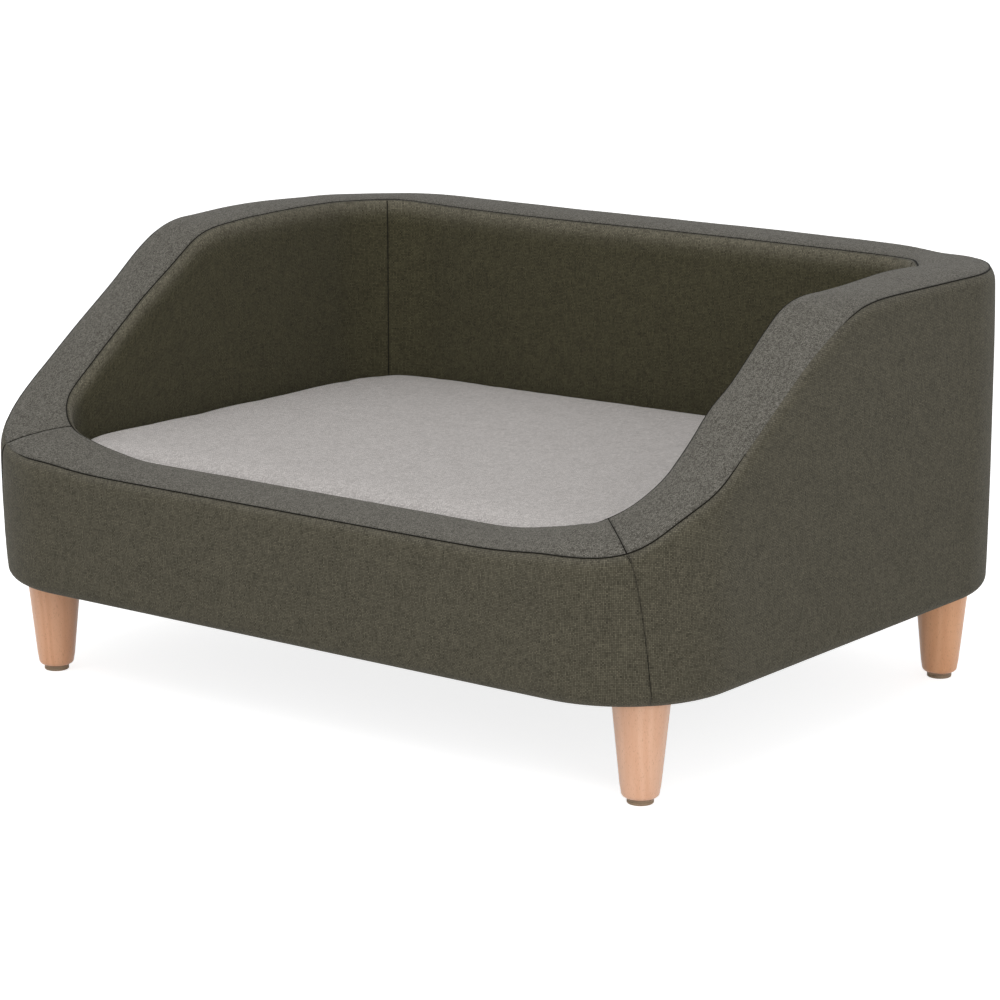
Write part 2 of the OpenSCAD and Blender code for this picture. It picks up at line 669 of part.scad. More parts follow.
module glide_nails() {
    color(steel_colour) for (p = leg_places) translate([p[0], p[1], nail_seat_h]) {
        cylinder(h = nail_head_t, d = nail_head_d, $fn = round_fn);
        cylinder(h = glide_t - nail_seat_h + nail_l, d = nail_d, $fn = round_fn);
    }
}

// Levels and plan of the mattress, which fills the well
mattress_top_z = bed_z + mattress_h;
top_seam_z = mattress_top_z - top_roll_h;
bottom_seam_z = bed_z + mattress_cloth_t;
mattress_middle = [0, (well_front_y + well_back_y) / 2];
mattress_arc_steps = 6;
mattress_side_shares = [0.2, 0.4, 0.6, 0.8];

// A mattress station holds a point of the outline, its outward normal and the draw of the side
function mattress_corner(centre, r, start) = [for (i = [0:mattress_arc_steps])
    let (angle = start + 90 * i / mattress_arc_steps)
    [around(centre, r, angle), around([0, 0], 1, angle), 0]];
function mattress_side(from, to, normal) = [for (s = mattress_side_shares)
    [lerp(from, to, s), normal, side_draw * 4 * s * (1 - s)]];
mattress_x = well_x - mattress_gap;
mattress_front_y = well_front_y + mattress_gap;
mattress_back_y = well_back_y - mattress_gap;
mattress_front_r = front_well_r - mattress_gap;
mattress_back_r = back_well_r - mattress_gap;
left_front_corner = [-front_corner[0], front_corner[1]];
left_back_corner = [-back_well_corner[0], back_well_corner[1]];
mattress_stations = concat(
    mattress_side([left_front_corner[0], mattress_front_y], [front_corner[0], mattress_front_y], [0, -1]),
    mattress_corner(front_corner, mattress_front_r, -90),
    mattress_side([mattress_x, front_corner[1]], [mattress_x, back_well_corner[1]], [1, 0]),
    mattress_corner(back_well_corner, mattress_back_r, 0),
    mattress_side([back_well_corner[0], mattress_back_y], [left_back_corner[0], mattress_back_y], [0, 1]),
    mattress_corner(left_back_corner, mattress_back_r, 90),
    mattress_side([-mattress_x, left_back_corner[1]], [-mattress_x, left_front_corner[1]], [-1, 0]),
    mattress_corner(left_front_corner, mattress_front_r, 180));
function mattress_at(st, inset, z) = at(st[0] - st[1] * (inset + st[2]), z);

// Each pair is the share of the roll's width and of its height, from the seam up to the top
top_roll_w = top_roll_h;
top_roll_shares = [[0, 0], [0.06, 0.35], [0.25, 0.72], [0.58, 0.94], [1, 1]];
// Shares of the way from the roll to the middle of the top
crown_shares = [0.15, 0.4, 0.7];

module mattress_top_panel() {
    n = len(mattress_stations);
    roll_rings = [for (s = top_roll_shares) [for (st = mattress_stations)
        mattress_at(st, top_roll_w * s[0], top_seam_z + top_roll_h * s[1])]];
    crown_rings = [for (s = crown_shares) [for (st = mattress_stations)
        let (p = mattress_at(st, top_roll_w, 0), q = lerp([p[0], p[1]], mattress_middle, s))
        at(q, mattress_top_z + mattress_crown * (1 - pow(1 - s, 2)))]];
    rings = concat(roll_rings, crown_rings);
    top = len(rings);
    points = concat([for (ring = rings) each ring],
        [at(mattress_middle, top_seam_z), at(mattress_middle, mattress_top_z + mattress_crown)]);
    color(mattress_colour) polyhedron(points, concat(
        [for (j = [0:top - 2], i = [0:n - 1]) let (k = (i + 1) % n)
            each [[j * n + i, (j + 1) * n + i, (j + 1) * n + k], [j * n + i, (j + 1) * n + k, j * n + k]]],
        [for (i = [0:n - 1]) let (k = (i + 1) % n) each [[i, k, top * n],
            [(top - 1) * n + k, (top - 1) * n + i, top * n + 1]]]));
}

boxing_steps = 6;
function boxing_z(s) = lerp(bottom_seam_z + glue_gap, top_seam_z - glue_gap, s);

module mattress_boxing() {
    color(mattress_colour) sheet_solid(
        [for (st = mattress_stations) [for (i = [0:boxing_steps]) let (s = i / boxing_steps)
            mattress_at(st, boxing_draw * sin(180 * s), boxing_z(s))]],
        [for (st = mattress_stations) [for (i = [0:boxing_steps]) let (s = i / boxing_steps)
            mattress_at(st, boxing_draw * sin(180 * s) + mattress_cloth_t, boxing_z(s))]], ring = true);
}

module mattress_bottom_panel() {
    color(mattress_colour) translate([0, 0, bed_z]) linear_extrude(mattress_cloth_t)
        well_plan(mattress_gap + side_draw);
}

module mattress_foam() {
    color(foam_colour) translate([0, 0, bottom_seam_z + foam_gap])
        linear_extrude(top_seam_z - bottom_seam_z - 2 * foam_gap)
            well_plan(mattress_gap + side_draw + boxing_draw + mattress_cloth_t + foam_gap);
}

// The zip lies on the rear boxing, where it is drawn in furthest
zip_l = 2 * (back_well_corner[0] - zip_end_gap);
zip_z = (bottom_seam_z + top_seam_z) / 2;
zip_edge_share = 1 / 2 - zip_tape_w / 2 / (top_seam_z - bottom_seam_z - 2 * glue_gap);
zip_y = mattress_back_y - boxing_draw * sin(180 * zip_edge_share) * cos(90 / boxing_steps) + glue_gap;
coil_y = zip_y + zip_tape_t;
slider_y = coil_y + zip_coil_t + slider_gap;
tape_gap = slider_gap;
stop_l = slider_w / 2;
slider_start_x = zip_l / 2 - slider_l / 2 - stop_l - slider_gap;
pin_y = slider_y + slider_t + pull_pin_d + slider_gap;
lug_t = pull_t;

module zip_tapes() {
    tape_w = (zip_tape_w - zip_coil_w) / 2 - tape_gap;
    color(zip_colour) for (side = [-1, 1])
        translate([-zip_l / 2, zip_y, zip_z + side * (zip_tape_w - tape_w) / 2 - tape_w / 2])
            cube([zip_l, zip_tape_t, tape_w]);
}

module zip_coil() {
    color(black_colour) translate([-zip_l / 2, zip_y, zip_z - zip_coil_w / 2])
        cube([zip_l, zip_tape_t + zip_coil_t, zip_coil_w]);
}

module zip_stops() {
    color(steel_colour) for (side = [-1, 1])
        translate([side * (zip_l - stop_l) / 2 - stop_l / 2, slider_y - slider_gap, zip_z - zip_coil_w / 2])
            cube([stop_l, slider_t, zip_coil_w]);
}

module zip_slider() {
    color(steel_colour) {
        difference() {
            translate([slider_start_x - slider_l / 2, slider_y - zip_coil_t / 2, zip_z - slider_w / 2])
                cube([slider_l, slider_t + zip_coil_t / 2, slider_w]);
            translate([slider_start_x - slider_l / 2 - overrun, slider_y - zip_coil_t, zip_z - zip_coil_w / 2
                - slider_gap]) cube([slider_l + 2 * overrun, zip_coil_t, zip_coil_w + 2 * slider_gap]);
        }
        for (side = [-1, 1]) translate([slider_start_x, 0, zip_z + side * (slider_w - lug_t) / 2 - lug_t / 2]) {
            translate([-pull_pin_d, slider_y, 0]) cube([2 * pull_pin_d, pin_y - slider_y, lug_t]);
            translate([0, pin_y, 0]) cylinder(h = lug_t, r = pull_pin_d, $fn = round_fn);
        }
        translate([slider_start_x, pin_y, zip_z - slider_w / 2]) cylinder(h = slider_w, d = pull_pin_d, $fn = round_fn);
    }
}

module zip_pull() {
    plate_w = min(pull_w, slider_w - 2 * lug_t - 2 * slider_gap);
    color(steel_colour) difference() {
        union() {
            translate([slider_start_x, pin_y, zip_z - plate_w / 2]) cylinder(h = plate_w, r = pull_pin_d,
                $fn = round_fn);
            translate([slider_start_x - pull_l, pin_y - pull_t / 2, zip_z - plate_w / 2])
                cube([pull_l, pull_t, plate_w]);
        }
        translate([slider_start_x, pin_y, zip_z - plate_w]) cylinder(h = 2 * plate_w,
            d = pull_pin_d + 2 * pin_gap, $fn = round_fn);
    }
}

base_board();
front_rail_board();
back_board();
side_board(-1);  // left_side_board
side_board(1);  // right_side_board
front_former(-1);  // front_left_corner_former
front_former(1);  // front_right_corner_former
back_former(-1);  // back_left_corner_former
back_former(1);  // back_right_corner_former
color(beech_colour) dowels();  // frame_dowels
color(steel_colour) screws();  // frame_screws
outer_foam(front_stations);  // front_outer_foam
outer_foam(left_stations);  // left_outer_foam
outer_foam(right_stations);  // right_outer_foam
outer_foam(back_stations);  // back_outer_foam
inner_foam(front_stations);  // front_inner_foam
inner_foam(left_stations);  // left_inner_foam
inner_foam(right_stations);  // right_inner_foam
inner_foam(back_stations);  // back_inner_foam
rim_foam(front_stations);  // front_rim_foam
rim_foam(left_stations);  // left_rim_foam
rim_foam(right_stations);  // right_rim_foam
rim_foam(back_stations);  // back_rim_foam
outer_cover(front_stations);  // front_outer_cover
outer_cover(left_stations);  // left_outer_cover
outer_cover(right_stations);  // right_outer_cover
outer_cover(back_stations);  // back_outer_cover
inner_cover(front_stations);  // front_inner_cover
inner_cover(left_stations);  // left_inner_cover
inner_cover(right_stations);  // right_inner_cover
inner_cover(back_stations);  // back_inner_cover
rim_band(front_stations);  // front_rim_band
rim_band(arm_and_back_stations);  // arm_and_back_rim_band
deck_cloth();
dust_cover();
hem_staples();
leg(leg_places[0]);  // front_left_leg
leg(leg_places[1]);  // front_right_leg
leg(leg_places[2]);  // back_left_leg
leg(leg_places[3]);  // back_right_leg
hanger_bolts();
tee_nuts();
glide(leg_places[0]);  // front_left_glide
glide(leg_places[1]);  // front_right_glide
glide(leg_places[2]);  // back_left_glide
glide(leg_places[3]);  // back_right_glide
glide_nails();
mattress_foam();
mattress_top_panel();
mattress_boxing();
mattress_bottom_panel();
zip_tapes();
zip_coil();
zip_stops();
zip_slider();
zip_pull();
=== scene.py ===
import math

import bmesh
import bpy
from bpy.props import FloatProperty, FloatVectorProperty, PointerProperty
from functools import lru_cache
from mathutils import Matrix, Vector, noise


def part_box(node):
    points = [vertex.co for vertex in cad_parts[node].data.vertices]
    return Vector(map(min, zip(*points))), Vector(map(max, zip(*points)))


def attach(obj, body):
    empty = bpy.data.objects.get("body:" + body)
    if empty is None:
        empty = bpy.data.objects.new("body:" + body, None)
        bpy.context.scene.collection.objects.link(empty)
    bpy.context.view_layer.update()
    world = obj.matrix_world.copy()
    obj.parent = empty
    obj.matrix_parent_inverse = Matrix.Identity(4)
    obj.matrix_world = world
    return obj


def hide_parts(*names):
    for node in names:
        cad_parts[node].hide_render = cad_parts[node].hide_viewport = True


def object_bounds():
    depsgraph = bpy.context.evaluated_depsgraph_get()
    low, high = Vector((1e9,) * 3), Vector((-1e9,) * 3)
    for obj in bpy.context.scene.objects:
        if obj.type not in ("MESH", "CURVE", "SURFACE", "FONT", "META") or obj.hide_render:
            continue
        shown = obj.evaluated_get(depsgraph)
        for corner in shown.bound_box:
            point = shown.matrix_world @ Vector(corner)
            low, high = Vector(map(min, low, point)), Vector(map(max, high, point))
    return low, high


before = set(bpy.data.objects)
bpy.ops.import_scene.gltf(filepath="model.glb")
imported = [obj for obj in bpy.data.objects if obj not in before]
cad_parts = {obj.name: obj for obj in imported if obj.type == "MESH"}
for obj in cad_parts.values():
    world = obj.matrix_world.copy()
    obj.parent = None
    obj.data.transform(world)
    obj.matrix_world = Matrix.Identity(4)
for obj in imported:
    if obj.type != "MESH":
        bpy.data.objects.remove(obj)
cad_low, cad_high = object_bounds()

bl_info = {
    "name": "Upholstered pet sofa",
    "version": (1, 0, 0),
    "blender": (4, 5, 0),
    "location": "View3D > Sidebar > Pet sofa",
    "description": "Builds a small upholstered sofa bed with a loose mattress and wooden legs",
    "category": "Add Mesh",
}

MM = 0.001
# Distances from a seam, in millimetres, at which the rows and columns of a cover lie close together
SEAM_MARKS = [0.0, 0.5, 1.0, 1.7, 2.6, 4.0, 6.0, 8.5, 11.5, 15.0]
# Distance between a cover's other columns, and how far its puckers reach from a seam
COLUMN_STEP = 2.6 * MM
PUCKER_REACH = 7 * MM
# Where the front corner seams lie on the outer and on the inner corner, in degrees from the side
MITRE, INNER_MITRE = 52.5, 72
LEGS = ("front_left", "front_right", "back_left", "back_right")
# Where the sewn seams stray from their even line, by the place round the outside from the front's middle:
# place, spread, rise
OUTER_STRAYS = ((0.270, 0.032, 0.0048), (-0.272, 0.030, 0.0044), (0.369, 0.019, 0.0062),
                (0.572, 0.025, -0.0075), (-0.405, 0.026, -0.0030), (-0.540, 0.016, 0.0025),
                (-0.680, 0.045, 0.0038), (0.915, 0.022, -0.0032), (-0.850, 0.035, -0.0018),
                (1.070, 0.130, 0.0018))
INNER_STRAYS = ((0.0, 0.200, 0.0014), (0.228, 0.024, 0.0028), (0.325, 0.024, 0.0010),
                (0.466, 0.014, 0.0040), (0.548, 0.028, 0.0040), (0.735, 0.055, 0.0052),
                (0.850, 0.030, 0.0020), (-0.222, 0.020, 0.0018), (-0.410, 0.020, -0.0030),
                (-0.495, 0.020, 0.0024), (-0.595, 0.018, -0.0020), (-0.740, 0.075, 0.0034),
                (-0.865, 0.030, 0.0022), (-1.040, 0.100, -0.0020))
# Where the padding under the outer and the inner seam is fuller: place, spread, swell
OUTER_FULLER = ((-0.352, 0.030, 0.0040),)
INNER_FULLER = ((0.838, 0.030, 0.0060),)


def paint(code):
    """The linear colour of a six-figure sRGB code."""
    parts = [int(code[i:i + 2], 16) / 255 for i in (0, 2, 4)]
    return tuple(p / 12.92 if p <= 0.04045 else ((p + 0.055) / 1.055) ** 2.4 for p in parts)


def length(name, about, default):
    """A setting that is a length in metres."""
    return FloatProperty(name=name, description=about, default=default, unit="LENGTH", precision=4)


def colour(name, about, code):
    """A setting that is a colour, given by its code."""
    return FloatVectorProperty(name=name, description=about, default=paint(code), subtype="COLOR", size=3,
                               min=0.0, max=1.0)


class SofaShape(bpy.types.PropertyGroup):
    """Sizes of the padded walls"""

    wall: length("Wall", "Thickness of the padded walls", 0.056)
    rail_top: length("Rail height", "Height of the outer seam along the front rail", 0.195)
    arm_top: length("Arm height", "Height of the seams at the arms' shoulders", 0.361)
    back_fall: length("Back fall", "How much lower the back's seams lie", 0.004)
    rail_tilt: length("Rail tilt", "How much higher the rail's inner seam lies", 0.005)
    shoulder_setback: length("Shoulder", "Distance from the front to the arms' shoulders", 0.260)
    slope: FloatProperty(name="Slope", description="Fall of the arms' sloping edges",
                         default=math.radians(33.8), subtype="ANGLE")
    shoulder_radius: length("Shoulder bend", "Radius of the bend at the shoulder", 0.090)
    toe_radius: length("Toe bend", "Radius of the bend into the front rail", 0.200)
    front_corner: length("Front corner", "Outer plan radius at the front", 0.100)
    back_corner: length("Back corner", "Outer plan radius at the back", 0.108)
    well_corner: length("Well corner", "Inner plan radius at the back", 0.070)
    hem_low: length("Hem level", "Height of the rolled lower edge above the floor", 0.084)
    hem_radius: length("Hem radius", "Radius of the rolled lower edge", 0.012)
    hem_turn: length("Hem turn", "Width of cloth turned under the base", 0.017)
    cloth: length("Cloth", "Thickness of the woven cover", 0.0012)
    rim_crown: length("Rim crown", "Rise of the rim between its seams", 0.0023)
    seam_set: length("Seam set", "Distance that the outer seam is set in", 0.0015)
    inner_set: length("Inner set", "Distance that the inner seam is set back", 0.004)
    inner_roll: length("Inner roll", "Height of the roll under the inner seam", 0.020)
    inner_bulge: length("Inner bulge", "Swell of the padded inner faces", 0.001)
    face_bulge: length("Bulge", "Swell of the padded outer faces", 0.0032)
    corner_slant: length("Corner slant", "How far the front corner seams run back at the hem", 0.019)
    pinch: length("Pinch", "Depth that a seam is drawn in", 0.0016)
    mitre_pinch: length("Mitre pinch", "Depth that the rim's mitre seams are drawn in", 0.0012)
    corner_pinch: length("Corner pinch", "Depth that an upright corner seam is drawn in", 0.0007)
    pucker: length("Pucker", "Depth of the puckers along a seam", 0.00016)
    unevenness: length("Unevenness", "Depth of the soft hollows in the padding", 0.0005)


class SofaCloth(bpy.types.PropertyGroup):
    """Colours and threads of the woven cloth"""

    outer_dark: colour("Outer, dark thread", "Darker threads of the outer cloth", "38352a")
    outer_light: colour("Outer, light thread", "Lighter threads of the outer cloth", "696454")
    # Painted shade: the inner thread colours are a darker copy of the outer cloth, for the well's shade, not
    # a different cloth
    shaded_inner_dark: colour("Inner, dark thread", "Darker threads of the inner cloth", "2f2c1e")
    shaded_inner_light: colour("Inner, light thread", "Lighter threads of the inner cloth", "58543e")
    rim_dark: colour("Rim, dark thread", "Darker threads of the rim cloth", "48453e")
    rim_light: colour("Rim, light thread", "Lighter threads of the rim cloth", "7d7a72")
    pitch: length("Thread pitch", "Distance between the threads of the walls' cloth", 0.0013)
    slub: length("Slub length", "Length of the light and dark runs in a thread", 0.009)
    mattress_dark: colour("Mattress, dark thread", "Darker threads of the mattress cloth", "b2adaa")
    mattress_light: colour("Mattress, light thread", "Lighter threads of the mattress cloth", "d4cfcc")
    mattress_pitch: length("Mattress thread pitch", "Distance between the threads of the mattress", 0.0012)


class SofaWood(bpy.types.PropertyGroup):
    """Colours of the wooden legs"""

    pale: colour("Beech, pale", "Early wood of the legs", "f4c39e")
    warm: colour("Beech, warm", "Late wood of the legs", "e0a57c")
    glide: colour("Glide", "Plastic of the glides", "a68f74")


class SofaMattress(bpy.types.PropertyGroup):
    """Sizes of the loose mattress"""

    crown: length("Crown", "Rise of the top in the middle", 0.0045)
    edge_roll: length("Edge roll", "Radius of the rolled upper edge", 0.010)
    edge_rise: length("Edge rise", "How far the top's edges rise away from the left back corner", 0.008)
    corner_drop: length("Corner drop", "How far the left back corner is pressed down", 0.0034)
    tip_drop: length("Tip drop", "How far the left front corner is rounded off", 0.005)
    corner_reach: length("Corner reach", "How far the pressed corner reaches", 0.14)
    boxing_draw: length("Boxing draw", "How far the sides are drawn in", 0.009)
    side_draw: length("Side draw", "How far the sides bow in between corners", 0.0015)
    voxel: length("Voxel", "Size of the remeshed faces", 0.006)


class SofaStage(bpy.types.PropertyGroup):
    """Camera and lamps"""

    yaw: FloatProperty(name="Yaw", description="Turn of the camera from the front", default=0.65418,
                       subtype="ANGLE")
    pitch: FloatProperty(name="Pitch", description="Height of the camera above level", default=0.22962,
                         subtype="ANGLE")
    lens: FloatProperty(name="Lens", description="Focal length on a 36 mm sensor", default=130.62)
    place: FloatVectorProperty(name="Camera", description="Place of the camera", size=3, unit="LENGTH",
                               default=(1.82883, -2.37984, 0.85329))
    key: FloatProperty(name="Key lamp", description="Power of the lamp overhead, in watts", default=26.0)
    fill: FloatProperty(name="Fill lamp", description="Power of the lamp in front, in watts", default=16.0)
    ambient: FloatProperty(name="Ambient", description="Strength of the studio's own light", default=0.5)


# Walls


class Walls:
    """Plan and seam heights of the padded walls, by the distance s round the outside from the front."""

    def __init__(self, shape):
        self.shape = shape
        self.half_width = cad_high.x
        self.half_depth = cad_high.y
        self.front_x = self.half_width - shape.front_corner
        self.front_y = shape.front_corner - self.half_depth
        self.back_x = self.half_width - shape.back_corner
        self.back_y = self.half_depth - shape.back_corner
        self.well_x = self.half_width - shape.wall
        self.well_y = self.half_depth - shape.wall
        self.well_r = shape.front_corner - shape.wall
        self.shoulder_y = shape.shoulder_setback - self.half_depth
        self.corner = self.front_x
        self.side = self.corner + shape.front_corner * math.pi / 2
        self.back_turn = self.side + self.back_y - self.front_y
        self.back = self.back_turn + shape.back_corner * math.pi / 2
        self.half = self.back + self.back_x
        self.mitre = self.corner + shape.front_corner * math.radians(90 - MITRE)
        self.back_seam = self.back_turn + shape.back_corner * math.pi / 4
        self.rim_width = shape.wall - shape.seam_set - shape.inner_set
        m, b, full = self.mitre, self.back_seam, 2 * self.half
        self.spans = {"front": (-m, m), "right": (m, b), "back": (b, full - b), "left": (full - b, full - m)}

    def turn(self, s):
        """The same place as s, counted from the front's middle to the right or, below zero, to the left."""
        return (s + self.half) % (2 * self.half) - self.half

    def slope_height(self, run, low):
        """Height of a seam over the arm at a distance from front to back, where it is low along the rail."""
        shape = self.shape
        angle = shape.slope
        half = math.tan(angle / 2)
        shoulder = shape.shoulder_radius * half
        toe = shape.toe_radius * half
        toe_y = self.shoulder_y - (shape.arm_top - low) / math.tan(angle)
        if run < toe_y - toe:
            return low
        if run < toe_y + toe * math.cos(angle):
            return low + shape.toe_radius - math.sqrt(shape.toe_radius ** 2 - (run - toe_y + toe) ** 2)
        if run < self.shoulder_y - shoulder * math.cos(angle):
            return low + (run - toe_y) * math.tan(angle)
        if run < self.shoulder_y + shoulder:
            return shape.arm_top - shape.shoulder_radius + math.sqrt(
                shape.shoulder_radius ** 2 - (self.shoulder_y + shoulder - run) ** 2)
        return shape.arm_top

    def fall(self, y):
        """How much lower a seam lies at y than at the shoulders."""
        return self.shape.back_fall * max(0.0, y - self.shoulder_y) / (self.half_depth - self.shoulder_y)

    def stray(self, s, strays):
        """How far a seam lies above its even line at s."""
        return sum(rise * math.exp(-(self.turn(s - centre) / spread) ** 2 / 2)
                   for centre, spread, rise in strays)

    def plan(self, s):
        """The even plan at s with the seams' strays added to their heights."""
        outer, normal, inner, high, inner_high = self.even_plan(s)
        return (outer, normal, inner, high + self.stray(s, OUTER_STRAYS),
                inner_high + self.stray(s, INNER_STRAYS))

    def even_plan(self, s):
        """Outer point, outward normal, inner point and both seam heights at s, also past either end."""
        s = s % (2 * self.half)
        if s > self.half:
            outer, normal, inner, high, inner_high = self.even_plan(2 * self.half - s)
            return (Vector((-outer.x, outer.y)), Vector((-normal.x, normal.y)),
                    Vector((-inner.x, inner.y)), high, inner_high)
        shape = self.shape
        low, inner_low = shape.rail_top, shape.rail_top + shape.rail_tilt
        if s <= self.side:
            if s <= self.corner:
                angle = inner_angle = math.pi / 2
                rest = self.corner - s
                outer, normal = Vector((s, -self.half_depth)), Vector((0, -1))
                inner = Vector((s, -self.well_y))
            else:
                angle = math.pi / 2 - (s - self.corner) / shape.front_corner
                degrees = math.degrees(angle)
                inner_angle = math.radians(
                    INNER_MITRE + (degrees - MITRE) * (90 - INNER_MITRE) / (90 - MITRE)
                    if degrees > MITRE else degrees * INNER_MITRE / MITRE)
                rest = 0.0
                normal = Vector((math.cos(angle), -math.sin(angle)))
                centre = Vector((self.front_x, self.front_y))
                outer = centre + normal * shape.front_corner
                inner = centre + self.well_r * Vector((math.cos(inner_angle), -math.sin(inner_angle)))
            run = self.front_y - shape.front_corner * angle - rest
            inner_run = self.front_y - self.well_r * inner_angle - rest
            return (outer, normal, inner, self.slope_height(run, low) - self.fall(outer.y),
                    self.slope_height(inner_run, inner_low) - self.fall(outer.y))
        well = Vector((self.well_x - shape.well_corner, self.well_y - shape.well_corner))
        if s <= self.back_turn:
            y = self.front_y + s - self.side
            outer, normal = Vector((self.half_width, y)), Vector((1, 0))
            level_to = 0.06
            behind = max(0.0, y - level_to) * (well.y - level_to) / (self.back_y - level_to)
            inner = Vector((self.well_x, min(y, level_to) + behind))
            high = self.slope_height(y, low) - self.fall(y)
            return outer, normal, inner, high, self.slope_height(y, inner_low) - self.fall(y)
        if s <= self.back:
            angle = (s - self.back_turn) / shape.back_corner
            normal = Vector((math.cos(angle), math.sin(angle)))
            outer = Vector((self.back_x, self.back_y)) + normal * shape.back_corner
            inner = well + normal * shape.well_corner
        else:
            share = (self.half - s) / self.back_x
            outer, normal = Vector((self.back_x * share, self.half_depth)), Vector((0, 1))
            inner = Vector((well.x * share, self.well_y))
        high = shape.arm_top - self.fall(outer.y)
        return outer, normal, inner, high, high

    def slant(self, s, depth):
        """Where a seam that starts at s on the rim lies, at a depth from 0 at the rim to 1 at the hem."""
        turn, reach = self.turn(s), 0.09
        near = max(0.0, 1 - abs(abs(turn) - self.mitre) / reach)
        return s + math.copysign(self.shape.corner_slant * depth ** 0.65 * near * near * (3 - 2 * near), turn)

    def sewn(self, s):
        """How firmly the outer seam is drawn in: less on the right arm's slope and at the left corner."""
        turn = self.turn(s)
        slope, slope_reach, corner, corner_reach = 0.505, 0.07, -0.325, 0.04
        return (1 - 0.9 * math.exp(-((turn - slope) / slope_reach) ** 2)
                - 0.4 * math.exp(-((turn - corner) / corner_reach) ** 4))

    @lru_cache(maxsize=None)
    def place(self, s):
        """A dictionary of the points and directions at s that the panels are laid on."""
        shape = self.shape
        outer, normal, inner, high, inner_high = self.plan(s)
        fuller, inner_fuller = self.stray(s, OUTER_FULLER), self.stray(s, INNER_FULLER)
        turn = self.turn(s)
        arm_start, arm_end, fade_in, fade_out = 0.36, 0.79, 0.03, 0.02
        on_right_arm = 0.5 * (math.tanh((turn - arm_start) / fade_in)
                              - math.tanh((turn - arm_end) / fade_out))
        set_back = shape.inner_set * (1 - 0.9 * on_right_arm)
        share = (shape.wall - set_back) / shape.wall
        outer_part = 0.0236
        bend = outer - normal * outer_part
        inner_seam = bend.lerp(inner, (shape.wall - set_back - outer_part) / (shape.wall - outer_part))
        inner_seam = (inner_seam - normal * inner_fuller).to_3d()
        inner_seam.z = high + (inner_high - high) * share
        outer_seam = (outer - normal * (shape.seam_set - fuller)).to_3d()
        outer_seam.z = high
        ahead, behind = self.plan(s + 0.5 * MM), self.plan(s - 0.5 * MM)
        along = (ahead[0].to_3d() + Vector((0, 0, ahead[3]))
                 - (behind[0].to_3d() + Vector((0, 0, behind[3]))))
        across = inner_seam - outer_seam
        up = along.cross(across).normalized()
        inward = across.to_2d().normalized().to_3d()
        return {"fuller": fuller, "inner_fuller": inner_fuller, "set_back": set_back,
                "outer": outer, "normal": normal.to_3d(), "inner": inner, "high": high,
                "inner_high": inner_seam.z, "outer_seam": outer_seam, "inner_seam": inner_seam, "up": up,
                "inward": inward, "outer_draw": -(normal.to_3d() + up).normalized(),
                "inner_draw": -(inward + up).normalized()}


def marks(start, end, step):
    """Places from start to end, close together at both sewn ends."""
    head = [start + m * MM for m in SEAM_MARKS]
    tail = [end - m * MM for m in reversed(SEAM_MARKS)]
    count = max(1, round((tail[0] - head[-1]) / step))
    middle = [head[-1] + (tail[0] - head[-1]) * i / count for i in range(1, count)]
    return head + middle + tail


def drawn_in(distance):
    """How far a seam draws the cloth in at a distance from it, from 1 at the seam to 0."""
    crease, dip = distance / (1.5 * MM), distance / (6 * MM)
    return 0.62 * math.exp(-crease ** 1.2) + 0.38 * math.exp(-dip ** 1.5)


def hollows(point, size):
    """Soft hollows of the padding, from -1 to 1."""
    return 0.7 * noise.noise(point / size) + 0.3 * noise.noise(point / (size * 0.4) + Vector((7, 3, 1)))


def painted_light_fade(depth, reach):
    """How much painted light lightens the cloth at a depth under a seam, from 1 to 0."""
    share = max(0.0, 1 - depth / reach)
    return share * share * (3 - 2 * share)


def ripple(u, seed):
    """Puckers along a seam, from -1 to 1, at an uneven pitch."""
    pitch, drift = 7 * MM, 0.03
    return math.sin(2 * math.pi * u / pitch + 3 * noise.noise(Vector((u / drift, seed, 0))))


def puckers(shape, *lines):
    """Puckers beside seams, each given by the place along it, the distance from it and a seed."""
    return shape.pucker * sum(ripple(u, seed) * math.exp(-away / PUCKER_REACH) for u, away, seed in lines)


def painted_seam_shade(away, width=0.8 * MM):
    """How much painted shade darkens the cloth at a distance from a seam's groove, from 1 to 0."""
    return math.exp(-away / width)


def mesh_piece(name, bm, smooth=True):
    """A visible piece from a finished mesh."""
    for face in bm.faces:
        face.smooth = smooth
    mesh = bpy.data.meshes.new(name)
    bm.to_mesh(mesh)
    bm.free()
    piece = bpy.data.objects.new(name, mesh)
    bpy.context.scene.collection.objects.link(piece)
    return piece


def laid_grid(bm, wide, deep):
    """Makes a grid and yields each vertex with its column and row."""
    bmesh.ops.create_grid(bm, x_segments=wide - 1, y_segments=deep - 1, size=1.0)
    for vert in bm.verts:
        yield vert, round((vert.co.x + 1) / 2 * (wide - 1)), round((vert.co.y + 1) / 2 * (deep - 1))


def cloth_sheet(name, grid, thickness):
    """A sheet as a closed shell, from columns of (point, place on the flat cloth in metres, seam darkening,
    painted light).
    """
    bm = bmesh.new()
    flat_layer = bm.loops.layers.uv.new("Cloth")
    # Per point: painted seam shade (a real sewing line on a zip tape) and painted light under a top seam
    seam_layer = bm.verts.layers.float.new("seam")
    painted_light_layer = bm.verts.layers.float.new("painted_light")
    flat = {}
    for vert, i, j in laid_grid(bm, len(grid), len(grid[0])):
        vert.co, flat[vert], vert[seam_layer], vert[painted_light_layer] = grid[i][j]
    for face in bm.faces:
        for loop in face.loops:
            loop[flat_layer].uv = flat[loop.vert]
    piece = mesh_piece(name, bm)
    shell = piece.modifiers.new("Thickness", "SOLIDIFY")
    shell.thickness = thickness
    shell.offset = -1
    return piece


